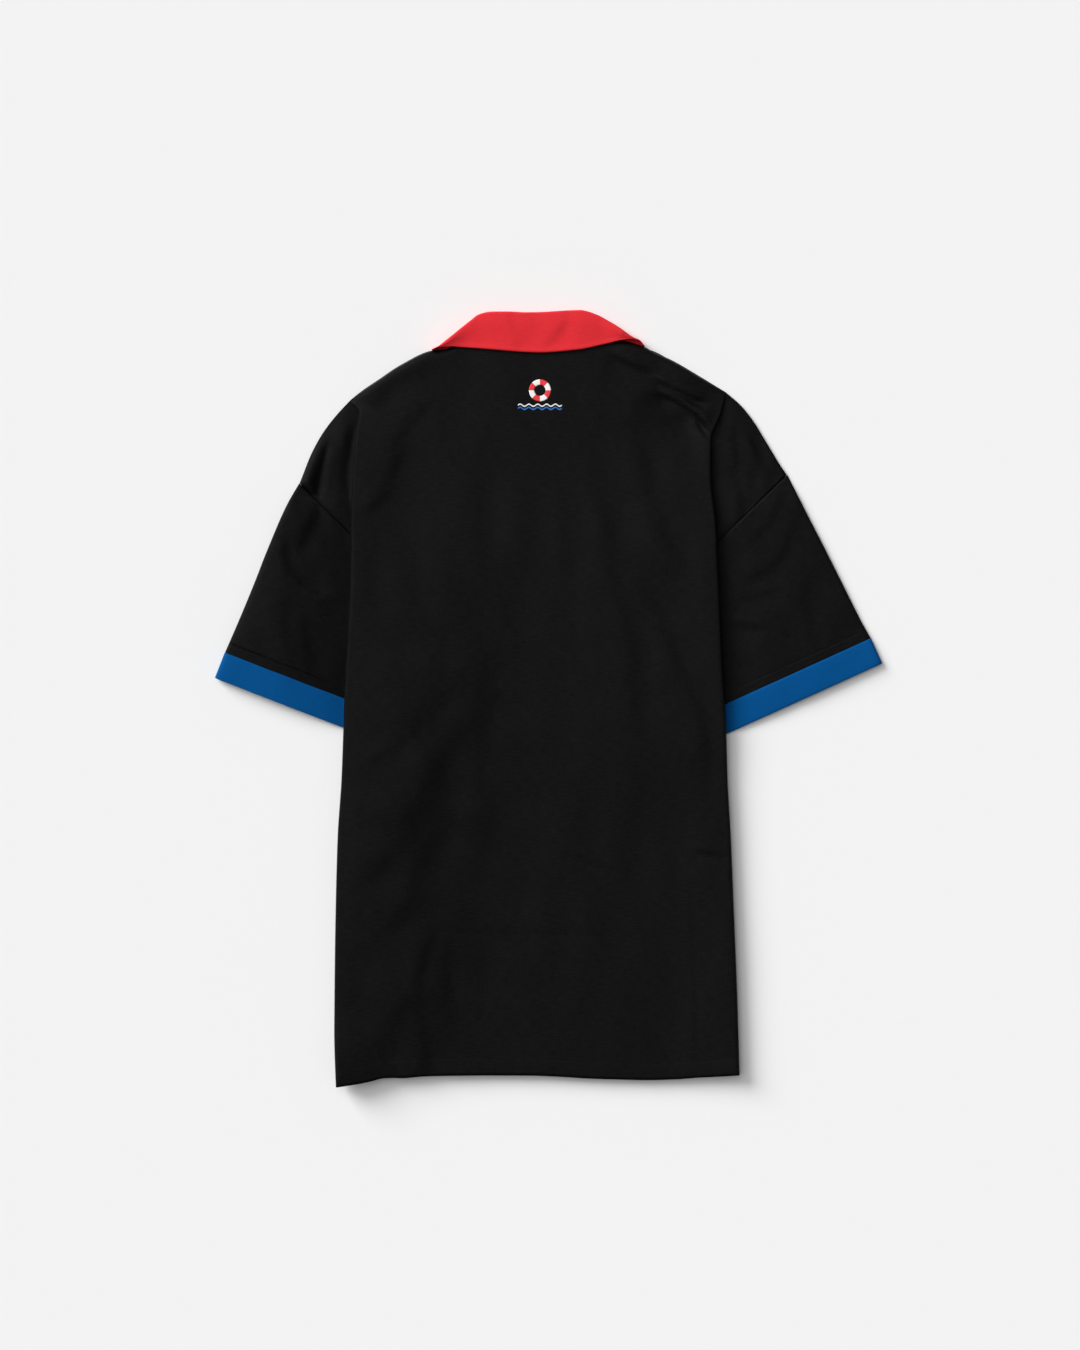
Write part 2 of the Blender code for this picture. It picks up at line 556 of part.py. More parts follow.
def make_sleeve(name, armhole, edge, corner, slope, side, sign, puff, material):
    outer = resample(edge, SLEEVE_RINGS)
    top_outer, top_inner = band_ends(corner, slope, BAND_DEPTH + SEAM)
    outer[-1] = top_outer
    along_seam = (armhole[1] - armhole[0]) / math.hypot(*(armhole[1] - armhole[0]))
    away = np.array([-along_seam[1], along_seam[0]])
    if away[1] > 0:
        away = -away
    underarm = armhole[1] + away * (SEAM + SLEEVE_START)
    outer[0] = armhole[0] + away * (SEAM + SLEEVE_START)
    inner = np.linspace(underarm, top_inner, SLEEVE_RINGS)
    risen = SEAM_PUFF + (1 - SEAM_PUFF) * ramp(np.arange(SLEEVE_RINGS) / SEAM_PUFF_RINGS)
    return tube_piece(name, outer, inner, side, sign, WALL, SLEEVE_PRESSED, puff, risen,
                      material)


def make_band(name, corner, slope, side, sign, puff, material):
    lines = [band_ends(corner, slope, depth) for depth in (BAND_DEPTH, BAND_DEPTH / 2, 0.0)]
    outer = np.array([line[0] for line in lines])
    inner = np.array([line[1] for line in lines])
    return tube_piece(name, outer, inner, side, sign, BAND_WALL, BAND_PRESSED, puff,
                      np.ones(len(lines)), material)


def make_collar(material):
    """The collar: the fall on the back, the rolled upper edge and the leaves underneath."""
    x = np.linspace(COLLAR[0, 0], COLLAR[-1, 0], COLLAR_COLUMNS)
    fold = along(COLLAR, 0, 1, x) - WALL / 2
    fall = along(COLLAR, 0, 2, x)
    leaf = along(COLLAR, 0, 3, x)
    depth = fold - fall
    reach = np.minimum(COLLAR_ROLL, COLLAR_ROLL_SHARE * depth)
    highest = np.maximum(back_height(x, fall), back_height(x, fall - COLLAR_LOOK))
    on_back = highest + LAYER + COLLAR_GAP
    crest = on_back + np.minimum(COLLAR_RISE, COLLAR_RISE_SHARE * depth)
    columns = []
    for t in COLLAR_FALL_SHARES:
        z = on_back + (crest - on_back) * ramp(t)
        columns.append((fall + (fold - reach - fall) * t, z))
    for angle in np.radians(COLLAR_ROLL_ANGLES):
        middle = (crest + FLOOR) / 2
        half = (crest - FLOOR) / 2
        columns.append((fold - reach * (1 - math.cos(angle)), middle + half * math.sin(angle)))
    for t in COLLAR_LEAF_SHARES:
        columns.append((fold - reach + (leaf - fold + reach) * t, np.full(len(x), FLOOR)))
    points = np.array([np.column_stack([x, y, z]) for y, z in columns])
    return cloth_piece("collar", [points.transpose(1, 0, 2)], material)


def make_button(number, material):
    bpy.ops.mesh.primitive_cylinder_add(
        vertices=BUTTON_SIDES, radius=BUTTON_RADIUS * MM, depth=BUTTON_HEIGHT * MM,
        location=(CENTRE_X * MM, (BUTTON_TOP_Y - BUTTON_PITCH * number) * MM, BUTTON_HEIGHT * MM / 2))
    button = bpy.context.object
    button.name = f"button_{number + 1}"
    button.data.materials.append(material)
    bevel = button.modifiers.new("Rounded rim", "BEVEL")
    bevel.width = BUTTON_RIM * MM
    bevel.segments = 1
    button.data.shade_smooth()
    return button


def main():
    for leftover in list(bpy.data.objects):
        bpy.data.objects.remove(leftover)
    shirt = bpy.data.collections.new("Shirt")
    bpy.context.scene.collection.children.link(shirt)
    black = make_material("Black cotton", (0.008, 0.008, 0.009), 0.75)
    red = make_material("Red cotton", (0.72, 0.033, 0.042), 0.8)
    blue = make_material("Blue cotton", (0.007, 0.071, 0.219), 0.8)
    button_black = make_material("Button", (0.01, 0.01, 0.01), 0.3)
    pieces = [
        make_back(black),
        make_front("front_left", 1, black),
        make_front("front_right", -1, black),
        make_sleeve("sleeve_left", LEFT_ARMHOLE, LEFT_SLEEVE_EDGE, LEFT_BAND_CORNER,
                    LEFT_BAND_SLOPE, LEFT_SIDE, 1, LEFT_PUFF, black),
        make_sleeve("sleeve_right", RIGHT_ARMHOLE, RIGHT_SLEEVE_EDGE, RIGHT_BAND_CORNER,
                    RIGHT_BAND_SLOPE, RIGHT_SIDE, -1, RIGHT_PUFF, black),
        make_band("band_left", LEFT_BAND_CORNER, LEFT_BAND_SLOPE, LEFT_SIDE, 1, LEFT_PUFF, blue),
        make_band("band_right", RIGHT_BAND_CORNER, RIGHT_BAND_SLOPE, RIGHT_SIDE, -1, RIGHT_PUFF,
                  blue),
        make_collar(red)]
    for piece in pieces:
        shirt.objects.link(piece)
    for number in range(BUTTON_COUNT):
        button = make_button(number, button_black)
        for collection in list(button.users_collection):
            collection.objects.unlink(button)
        shirt.objects.link(button)


main()
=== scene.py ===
import math
from types import SimpleNamespace

import bmesh
import bpy
import numpy as np
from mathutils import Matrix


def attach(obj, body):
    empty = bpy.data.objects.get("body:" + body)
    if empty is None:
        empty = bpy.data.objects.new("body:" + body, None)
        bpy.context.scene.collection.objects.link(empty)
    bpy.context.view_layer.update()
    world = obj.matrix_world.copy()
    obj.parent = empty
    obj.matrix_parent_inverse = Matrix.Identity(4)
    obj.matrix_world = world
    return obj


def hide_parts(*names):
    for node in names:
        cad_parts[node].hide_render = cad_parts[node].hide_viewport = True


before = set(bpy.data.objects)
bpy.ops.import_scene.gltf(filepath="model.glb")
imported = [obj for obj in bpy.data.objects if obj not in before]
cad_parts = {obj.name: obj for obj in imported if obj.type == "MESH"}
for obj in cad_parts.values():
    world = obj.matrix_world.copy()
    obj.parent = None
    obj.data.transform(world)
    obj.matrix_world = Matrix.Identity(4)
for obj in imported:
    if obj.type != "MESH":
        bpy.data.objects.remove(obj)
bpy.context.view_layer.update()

# Sizes are in millimetres until a mesh is made. +Z is up, +Y points to the collar.
MM = 0.001
WALL = 0.8              # one layer of cloth, as shown
BAND_WALL = 1.3         # a sleeve band is doubled
STRIP_WALL = 0.35       # a seam allowance under a seam
LAYER = 1.6             # rise from the middle of one layer to the next
FLOOR = 0.5             # middle height of cloth that lies on the table
SEAM = 0.3              # space between two pieces at a seam
ROLL_REACH = 1.5        # how far a turned side reaches inwards
INNER_ROLL_SHIFT = 1.7  # the front's turned side runs this far inside the back's
ARMHOLE_SHIFT = 2.0     # and this much further just above the flaps' upper end
ARMHOLE_SHIFT_UP = 12.0
ARMHOLE_SHIFT_REACH = 25.0
ROLL_RAISE_POWER = 1.5  # how late in its turn the front's side rises over the back's flap
SIDE_FALL = 42.0        # distance over which a raised side settles
SHOULDER_Y = 262.0      # above this the sides' cloth settles sooner
SHOULDER_OVER = 26.0
SHOULDER_SOONER = 0.65
FLAP_RISE = 3.7         # lift of the flaps where a sleeve lies under them
FLAP_STEP_Y = -130.0    # the flaps come down to the table below this line
FLAP_STEP = 72.0
FLAP_EASE = 0.6         # spare height of the fronts over their flaps
FLAP_CLEAR = 24.0       # how far past the side seam the fronts stay raised
FLAP_SLOPE = 40.0       # and the distance in which they then come down
ARMHOLE_TOP_Y = 205.0   # the fronts begin to rise over the flaps here
ARMHOLE_RISE = 45.0
SIDE_RISE_Y = 232.0     # likewise for the sides of the fronts
SIDE_RISE = 60.0
SIDE_GAP = 1.5          # spare height between front and back at the turned sides
BODY_SLACK = 2.8        # how far the back stands clear of the fronts
ENVELOPE_PITCH = 6.0    # grid and reach of the smooth form that the back is drawn over
ENVELOPE_REACH = 24.0
ENVELOPE_SPREAD = 12    # grid steps that the reach is spread over, each way
UPPER_SPAN = 4.0        # least height that the back spans the fronts at
CAP_SWELL_WIDTH = 40.0  # a narrower shoulder end has less crown
CAP_LIFT = -0.6         # the shoulder's cloth at the side, over two layers
TURN_LENGTH = 10.0      # the back's side turns under within this distance
EDGE_EASE = 7.0         # the back rounds down to its upper edge over this distance
TOP_BLEND = 26.0        # the turned side leaves the upper edge within this distance
STEP_LEAN = 8.0         # a step this high leans in full
CENTRE_X = -9.0         # centre line of the placket
PLACKET_HALF = 18.0
PLACKET_SPREAD = 24.0   # the rise over the buttons ends this far past the placket
PLACKET_FALL = 18.0
PLACKET_TOP_Y = 304.0   # there is no placket above this line
PLACKET_TOP_FADE = 20.0
BUTTON_RADIUS = 5.75
BUTTON_HEIGHT = 2.4
BUTTON_TOP_Y = 240.0
BUTTON_PITCH = 100.0
BUTTON_COUNT = 6
HOLE_OFF = 1.35         # a hole's middle, from the button's along X and along Y
HOLE_RADIUS = 0.85
BAND_DEPTH = 27.2
BAND_WIDTH = 200.0
HEM_TUCK = 1.5          # the hidden hems end this far above the back's
HEM_DEPTH = 15.5        # the hem's stitching runs this far above the edge
STEP_ZONE = 14.0        # a sleeve's rings are close together this near its band
SEAM_FADE = 26.0        # a sleeve's relief fades out this near the body
SLEEVE_PRESSED = 2.1    # middle height of a sleeve's upper layer under the body
PUFF_POWER = 1.7        # how soon it rises outside the body
SLEEVE_START = 0.2      # spare space at the armhole seam
TUBE_ROUND = 3.0        # a tube's side turns down within this distance of its edge
CORNER_RUN = 34.0       # the armhole seam has its full rise this far from the outer edge
SEAM_ZONE = 30.0        # the sleeve leaves the seam's height within this distance
NECK_RISE = 1.6         # lift of the fronts over the collar's leaves
NECK_Y = 252.0
NECK_FADE = 20.0
NECK_LEFT = -140.0
NECK_RIGHT = 125.0
NECK_SIDE_FADE = 22.0
COLLAR_ROLL = 2.0
COLLAR_RISE = 3.0
COLLAR_HALF = 1.3       # half the height of its rolled edge, where the neck is open
COLLAR_GAP = 1.0        # spare height between the fall and the back
COLLAR_LOOK = 9.0       # the fall clears the back this far below its edge too
CORNER_LIFT = 9.0       # the hem's left corner is raised
CORNER_Y = -300.0
CORNER_X = -150.0
CORNER_REACH = 80.0
FOLD_WANDER = 0.22      # how far a fold leaves its line, as a share of its reach
FOLD_FADE = 0.25        # share of its length over which it fades at each end
HEM_DOUBLED = 0.25      # relief of the hem's fold, and of the groove and the pucker
HEM_GROOVE = 0.16       # at its stitching
HEM_PUCKER = 0.07
STITCH_PITCH, STITCH_LENGTH, STITCH_RADIUS = 3.0, 2.2, 0.19
FILM = 0.08             # thickness of the print
THREAD = 0.00062        # pitch of the weave, in metres

# What belongs to each side. 'sign' points from it to the middle of the shirt. The turned
# side is y, x, and the height of the cloth there. The cap is the shoulder's cloth outside
# it: y on the side, and x and y of the outer end. Over 'fall' the back settles from the
# side, where 'fall_y' and 'fall_over' bring that distance in. 'puff' is how high the sleeve
# rises, and over what distance from the body; 'seam_rise' is the armhole seam's height, and
# 'step' the relief of the seam that is turned up above the band.
LEFT = SimpleNamespace(
    name="left", sign=1, fall=95.0, fall_y=150.0, fall_over=-150.0, swell=1.6, flap_top=142.0,
    puff=(12.5, 80.0), seam_rise=3.8, step=0.6, front_area=0.205, sleeve_area=0.059,
    turned=np.array([
        (298, -199.0, 3.9), (285, -189.5, 8.0), (263, -192.0, 11.0), (230, -195.0, 13.0),
        (166, -197.6, 15.0), (103, -199.3, 16.0), (9, -204.2, 16.5), (-81, -207.4, 17.0),
        (-139, -211.3, 17.5), (-221, -213.5, 17.5), (-276, -214.3, 17.0), (-328, -214.7, 15.5),
        (-388, -212.8, 14.0)]),
    cap=np.array([
        (298, -199, 298), (285, -213, 283), (268, -226, 266), (250, -238, 244),
        (235, -246, 224), (222, -249.5, 215), (204, -233, 198.9), (185, -214, 180.3),
        (165, -198, 164.7)]),
    armhole=np.array([(-249.5, 215.0), (-101.0, 70.0)]),
    seam=np.array([(-388, -103), (0, -99), (70, -101), (165, -198)]),
    sleeve_edge=np.array([
        (-250.2, 213.6), (-260.3, 196), (-281.4, 148), (-295, 113), (-309, 79), (-323, 45.7)]),
    band_corner=np.array([-333.5, 20.0]), band_slope=math.radians(-21.25))
RIGHT = SimpleNamespace(
    name="right", sign=-1, fall=85.0, fall_y=110.0, fall_over=80.0, swell=1.2, flap_top=134.0,
    puff=(3.6, 55.0), seam_rise=2.7, step=0.12, front_area=0.195, sleeve_area=0.0605,
    turned=np.array([
        (306, 177.0, 3.9), (285, 172.0, 6.5), (256, 161.8, 9.0), (222, 161.5, 11.0),
        (178, 166.0, 13.4), (134, 169.0, 15.0), (42, 173.0, 16.4), (-36, 177.3, 15.4),
        (-79, 178.6, 13.6), (-139, 182.0, 13.4), (-221, 185.4, 13.6), (-300, 188.5, 14.0),
        (-377, 190.8, 14.4)]),
    cap=np.array([
        (306, 177, 306), (292, 191, 294), (275, 204, 278), (256, 217, 257),
        (241, 229, 237), (227, 238, 223.5), (205, 217, 203.3), (182, 195, 182.0),
        (157, 168.5, 156.5)]),
    armhole=np.array([(238.0, 223.5), (85.0, 76.0)]),
    seam=np.array([(-388, 95), (0, 87), (76, 85), (157, 168.5)]),
    sleeve_edge=np.array([
        (238.9, 222.0), (255, 190), (277, 147), (301.5, 98), (311, 79), (322, 58.5)]),
    band_corner=np.array([333.0, 34.6]), band_slope=math.radians(-155.6))
SIDES = (LEFT, RIGHT)
FLAPS_END = (LEFT.seam[:, 1].max() + FLAP_CLEAR, RIGHT.seam[:, 1].min() - FLAP_CLEAR)
CAP_CORNER = 5          # the cap's row that ends at the shoulder's corner
CAP_STEPS = 7           # finer rows in each interval of the cap
# The upper edge of the back and of the fronts, and the hem: x, y.
BACK_TOP = np.array([
    (-199, 298.0), (-187, 307.5), (-170, 319.0), (-149, 333.0), (-117, 347.5),
    (-104, 349.0), (-89, 355.0), (-49, 360.0), (-9, 362.0), (31, 361.0), (66, 358.0),
    (78, 356.6), (84, 355.2), (90, 353.3), (95.6, 351.2), (101, 348.2), (107, 345.2),
    (123, 338.0), (149, 323.0), (167, 312.0), (177, 306.0)])
FRONT_TOP = np.array([
    (-199, 298.0), (-187, 307.5), (-170, 319.0), (-149, 333.0), (-117, 346.0),
    (-107, 346.0), (-76, 318.0), (-45, 284.0), (-27, 268.0), (9, 268.0), (27, 284.0),
    (58, 318.0), (89, 346.0), (97, 349.0), (123, 338.0), (149, 323.0), (167, 312.0),
    (177, 306.0)])
HEM = np.array([
    (-213, -388.0), (-199, -386.0), (-189, -384.6), (-177, -382.2), (-166, -379.6),
    (-157, -379.3), (-146, -379.6), (-129, -378.2), (-100, -377.6), (-60, -377.4),
    (-17, -377.5), (10, -378.6), (39, -380.4), (67, -381.3), (95, -382.0), (126, -381.2),
    (147, -379.4), (168, -378.2), (191, -376.5)])
# The collar: x, the folded upper edge, the fall's edge and the leaf's edge.
COLLAR = np.array([
    (-117.2, 348.5, 347.7, 345), (-112, 351.1, 350.2, 343), (-110.2, 352.2, 350.6, 342),
    (-103.5, 357.4, 351.3, 338), (-97.2, 362.1, 351.5, 326), (-87.3, 370.0, 350.7, 304),
    (-78.1, 377.2, 349.9, 293), (-70.4, 382.9, 349.4, 287), (-61.3, 385.4, 348.6, 290),
    (-55, 385.9, 348.1, 297), (-40, 385.9, 346.8, 328), (-24.5, 385.2, 345.7, 350),
    (-9, 385.4, 345.2, 352), (5, 386.2, 345.8, 351), (18, 387.0, 347.0, 348),
    (32, 387.4, 348.5, 326), (36.5, 386.6, 349.3, 316), (48.7, 382.4, 352.1, 291),
    (58.7, 377.0, 354.4, 288), (70, 370.2, 357.3, 297), (77.8, 365.0, 358.5, 311),
    (83, 361.6, 358.7, 322), (87, 359.6, 358.3, 331), (90.4, 357.9, 357.3, 337),
    (92, 356.4, 355.9, 340), (95.4, 351.9, 351.5, 344)])
# Round a turned side, and the lean and height of the step that replaces it at the shoulder.
ROLL_ANGLES = np.radians(np.linspace(76.0, -90.0, 12))
STEP_X = np.array([1.7, 1.2, 0.7, 0.25, -0.2, -0.3, 0.2, 0.9, 1.3, 1.3, 0.8, 0.0])
STEP_Z = np.array([1.0, 0.99, 0.96, 0.90, 0.80, 0.66, 0.50, 0.34, 0.21, 0.11, 0.04, 0.0])

# Folds: a line of points, the steepest slope, and how far the slope reaches on the right
# and on the left of the line's direction. The cloth falls to the left of that direction.
BACK_FOLDS = [
    ([(-114, 304), (-129, 288), (-143, 268), (-153, 250), (-158, 230), (-162, 212)],
     0.12, 10, 10),
    ([(-140, 258), (-154, 228), (-165, 204), (-180, 190), (-200, 183)], 0.19, 8, 8),
    ([(-92, 338), (-117, 328), (-149, 313), (-170, 299), (-186, 287), (-197, 277)],
     0.12, 14, 10),
    ([(81, 268), (91, 238), (104, 191), (114, 165), (131, 135), (140, 104)], 0.16, 12, 13),
    ([(84, 146), (94, 115), (101, 95), (121, 55), (138, 21), (148, -2), (153, -40),
      (158, -80), (162, -130)], 0.22, 12, 13),
    ([(36, 246), (46, 205), (54, 181), (61, 141), (74, 98), (81, 48), (88, 1), (96, -40),
      (103, -84)], 0.15, 14, 14),
    ([(12, 190), (16, 120), (27, 40), (38, -30)], 0.08, 14, 14),
    ([(166, 295), (148, 300), (136, 306), (124, 311), (112, 317), (98, 323)], 1.60, 2.4, 5),
    ([(164, 254), (159, 272), (150, 282), (140, 289), (128, 297), (112, 304), (96, 308)],
     2.30, 2.2, 4.2),
    ([(172, 264), (152, 274), (128, 288), (106, 300), (86, 310)], 0.52, 6, 12),
    ([(145, 284), (151, 270), (155, 263), (162, 253)], 1.40, 3, 2.4),
    ([(170, 305), (150, 314), (130, 321)], 0.60, 2, 3),
    ([(114, 326), (90, 331), (74, 338), (56, 347)], 0.50, 4, 7),
    ([(-82, 46), (-94, 20), (-100, 8), (-117, -17), (-128, -36), (-144, -54)], 0.11, 18, 18),
    ([(-136, -34), (-155, -52), (-168, -62), (-184, -70)], 0.16, 9, 10),
    ([(-86, -14), (-97, -45), (-106, -63), (-117, -88), (-131, -113), (-142, -138),
      (-158, -152), (-175, -170), (-192, -187), (-212, -202)], 0.14, 20, 18),
    ([(-90, -98), (-104, -134), (-121, -155), (-135, -180), (-141, -209), (-154, -231),
      (-171, -246), (-192, -259)], 0.13, 15, 14),
    ([(-110, -214), (-122, -250), (-128, -280), (-129, -309), (-126, -338), (-123, -362),
      (-121, -400)], 0.22, 12, 7),
    ([(-132, -292), (-146, -318), (-162, -342), (-178, -366)], 0.12, 12, 12),
    ([(-94, -222), (-103, -262), (-104, -310)], 0.16, 8, 8),
    ([(-116, 90), (-122, 0), (-118, -120), (-112, -230), (-108, -330), (-108, -430)],
     0.12, 34, 30),
    ([(-80, 240), (-72, 100), (-66, 0), (-63, -120), (-64, -240), (-67, -400)], 0.10, 36, 20),
    ([(183, -156), (161, -154), (138, -151)], 0.75, 2.0, 3.0),
    ([(139, -150), (142, -242), (145, -312), (147, -390)], 0.24, 2.0, 2.2),
    ([(152, -232), (61, -234), (-29, -233), (-109, -231), (-176, -230)], 0.20, 2.0, 2.2),
    ([(71, -174), (36, -160), (3, -149)], 0.26, 2.8, 3.2),
    ([(-23, -5), (-39, 4), (-55, 12)], 0.26, 2.8, 3.2)]
CAP_FOLDS = [
    ([(-196, 280), (-200, 256), (-204, 236), (-208, 216), (-211, 198), (-213, 180)],
     0.36, 8, 12),
    ([(-219, 264), (-224, 245), (-228, 228), (-231, 213), (-236, 195), (-243, 168)],
     0.85, 9, 3),
    ([(-224, 250), (-230, 228), (-234, 210), (-240, 188), (-247, 160)], 0.60, 13, 5),
    ([(-213, 252), (-217, 232), (-220, 214), (-224, 196), (-228, 176)], 0.16, 10, 12),
    ([(198, 268), (208, 245), (216, 228), (225, 210)], 0.34, 4, 5),
    ([(182, 280), (186, 250), (191, 220)], 0.18, 5, 5),
    ([(188, 212), (193, 194), (202, 178)], 0.24, 4, 4)]
SLEEVE_FOLDS = [
    ([(-225, 222), (-231, 198), (-236, 181), (-243, 161), (-254, 138)], 0.36, 10, 8),
    ([(-268, 170), (-265, 145), (-259, 128), (-246, 112), (-230, 103), (-206, 100)],
     0.42, 6, 7),
    ([(-262, 108), (-262, 66), (-257, 22)], 0.15, 9, 9),
    ([(-244, 96), (-242, 60), (-236, 10)], 0.16, 12, 10),
    ([(235, 212), (229, 195), (223, 180), (211, 164), (197, 150)], 0.18, 6, 6),
    ([(248, 192), (242, 170), (236, 149), (223, 131), (205, 123), (184, 120)], 0.15, 8, 8),
    ([(220, 67), (198, 73), (176, 79)], 0.42, 4, 4),
    ([(203, 29), (192, 40), (184, 54)], 0.28, 3.5, 4),
    ([(240, 114), (214, 104), (194, 100), (178, 100)], 0.17, 5, 6),
    ([(256, 128), (262, 90), (262, 50)], 0.10, 9, 9)]
COLLAR_FOLDS = [
    ([(-43, 388), (-37, 372), (-31, 354), (-29, 344)], 0.11, 6, 7),
    ([(24, 384), (12, 368), (0, 355), (-10, 344)], 0.14, 7, 8),
    ([(-78, 384), (-72, 364), (-68, 348)], 0.06, 8, 8),
    ([(46, 388), (50, 370), (50, 350)], 0.07, 8, 8)]
# Folds of the hidden fronts, of the same kind: they show from below.
FRONT_FOLDS = [
    ([(-60, 210), (-75, 120), (-82, 20), (-80, -90)], 0.14, 9, 9),
    ([(-40, -140), (-62, -220), (-60, -330)], 0.12, 9, 9),
    ([(40, 190), (62, 90), (66, -10)], 0.14, 9, 9),
    ([(30, -60), (52, -160), (48, -260), (56, -350)], 0.12, 9, 9)]


def ramp(value):
    """Smooth step from 0 to 1 as the value goes from 0 to 1."""
    t = np.clip(value, 0.0, 1.0)
    return t * t * (3.0 - 2.0 * t)


def along(table, key, column, at):
    """Smooth curve through a table: a cubic in each interval, whose slope at a point is
    the harmonic mean of the two chords that meet there, so it never overshoots."""
    order = np.argsort(table[:, key])
    x, y = table[order, key].astype(float), table[order, column].astype(float)
    width = np.diff(x)
    chord = np.diff(y) / width
    slope = np.concatenate([chord[:1], np.zeros(len(x) - 2), chord[-1:]])
    before, after = chord[:-1], chord[1:]
    same = before * after > 0
    near, far = 2 * width[1:] + width[:-1], width[1:] + 2 * width[:-1]
    slope[1:-1][same] = ((near + far)[same]
                         / (near[same] / before[same] + far[same] / after[same]))
    at = np.clip(at, x[0], x[-1])
    i = np.clip(np.searchsorted(x, at) - 1, 0, len(x) - 2)
    t = (at - x[i]) / width[i]
    return (y[i] * (1 + 2 * t) * (1 - t) ** 2 + width[i] * slope[i] * t * (1 - t) ** 2
            + y[i + 1] * t * t * (3 - 2 * t) - width[i] * slope[i + 1] * t * t * (1 - t))


def straight(table, key, column, at):
    """The same with straight lines between a table's points."""
    order = np.argsort(table[:, key])
    return np.interp(at, table[order, key], table[order, column])


def ripples(x, y, seed, lengths, height, spread=1.6):
    """Slack of cloth: a sum of plane waves of random length and phase, whose crests run
    down the shirt within 'spread' radians."""
    draw = np.random.default_rng(seed)
    relief = np.zeros(np.broadcast(x, y).shape)
    waves = 14
    for _ in range(waves):
        angle, phase = draw.uniform(-spread, spread), draw.uniform(0, 2 * math.pi)
        length = draw.uniform(*lengths)
        across = (x * math.cos(angle) + y * math.sin(angle)) / length
        relief = relief + np.sin(2 * math.pi * across + phase)
    return relief * height / math.sqrt(waves)


def fold_relief(x, y, folds):
    """Sum of the listed folds.

    Across a fold's line the height is minus slope times distance, over one plus the square
    of the distance as a part of the reach: a low ridge, the fall, and a trough. A fold
    fades at both ends, wanders to the sides, and is steeper in some places than in others.
    """
    relief = np.zeros(np.broadcast(x, y).shape)
    for number, (points, slope, reach_right, reach_left) in enumerate(folds):
        points = np.array(points, float)
        steps = np.hypot(*np.diff(points, axis=0).T)
        runs = np.concatenate([[0.0], np.cumsum(steps)])
        reach = (reach_right + reach_left) / 2
        wander = FOLD_WANDER * reach
        wx = x + wander * np.sin(y / 19.0 + number * 1.7)
        wy = y + wander * np.sin(x / 23.0 + number * 2.3)
        best = np.full(relief.shape, 1e9)
        side = np.zeros(relief.shape)
        run = np.zeros(relief.shape)
        for start, end, begins, length in zip(points[:-1], points[1:], runs, steps):
            ux, uy = (end - start) / length
            t = np.clip((wx - start[0]) * ux + (wy - start[1]) * uy, 0.0, length)
            dx, dy = wx - start[0] - ux * t, wy - start[1] - uy * t
            away = np.hypot(dx, dy)
            nearer = away < best
            best = np.where(nearer, away, best)
            side = np.where(nearer, dy * ux - dx * uy, side)
            run = np.where(nearer, begins + t, run)
        share = run / runs[-1]
        fade = ramp(share / FOLD_FADE) * ramp((1 - share) / FOLD_FADE)
        uneven = 0.85 + 0.17 * np.sin(run / 17.0 + number * 2.1) \
            + 0.09 * np.sin(run / 7.3 + number * 4.4)
        signed = np.sign(side) * best
        own = np.where(side > 0, reach_left, reach_right) * (0.8 + 0.25 * np.sin(math.pi * share))
        part = signed / own
        shape = part / (1 + part ** 2) * np.exp(-(part / 4.5) ** 2)
        relief = relief - slope * own * fade * uneven * shape
    return relief


def side_x(side, y):
    """Where a side is turned under."""
    return along(side.turned, 0, 1, y)


def side_top(side, y):
    """Height of the back's cloth at its turned side."""
    return along(side.turned, 0, 2, y)


def inwards(side, x, y):
    """Distance of a place inside a turned side."""
    return side.sign * (x - side_x(side, y))


def outside(side, x, y):
    """Distance of a place on a sleeve outside the body."""
    return side.sign * (straight(side.turned, 0, 1, y) - x)


def flap_height(y):
    """Middle height of the back's flap: raised where a sleeve lies under it."""
    return FLOOR + FLAP_RISE * ramp((y - FLAP_STEP_Y) / FLAP_STEP)


def corner_lift(x, y):
    """Height by which every layer rises at the hem's left corner."""
    return (CORNER_LIFT * ramp((CORNER_Y - y) / CORNER_REACH)
            * ramp((CORNER_X - x) / CORNER_REACH))


def over_flaps(y):
    """Middle height of a front where it lies over both flaps, which end at the armhole."""
    full = flap_height(y) + 2 * LAYER + FLAP_EASE
    return FLOOR + (full - FLOOR) * ramp((ARMHOLE_TOP_Y - y) / ARMHOLE_RISE)


def stack_height(x, y):
    """Middle height of the fronts away from the raised sides: on the table, over the flaps
    and over the collar's leaves."""
    inside = np.maximum(1 - ramp((x - FLAPS_END[0]) / FLAP_SLOPE),
                        1 - ramp((FLAPS_END[1] - x) / FLAP_SLOPE))
    stack = FLOOR + (over_flaps(y) - FLOOR) * inside
    return stack + (NECK_RISE * ramp((y - NECK_Y) / NECK_FADE)
                    * ramp((x - NECK_LEFT) / NECK_SIDE_FADE)
                    * ramp((NECK_RIGHT - x) / NECK_SIDE_FADE))


def front_height(x, y):
    """Middle height of the fronts, which rise to the turned sides."""
    stack = stack_height(x, y)
    raised = ramp((SIDE_RISE_Y - y) / SIDE_RISE)
    height = stack
    for side in SIDES:
        near = np.exp(-(inwards(side, x, y) / SIDE_FALL) ** 2) * raised
        height = height + (side_top(side, y) - LAYER - SIDE_GAP - stack) * near
    return height + corner_lift(x, y)


def placket_height(x, y, inner):
    """Rise of the two overlapping front edges over the buttons."""
    off = np.abs(x - CENTRE_X)
    rise = BUTTON_HEIGHT + SEAM + (LAYER if inner else 0.0)
    across = ramp((PLACKET_HALF + PLACKET_SPREAD - off) / PLACKET_FALL)
    return rise * across * ramp((PLACKET_TOP_Y - y) / PLACKET_TOP_FADE)


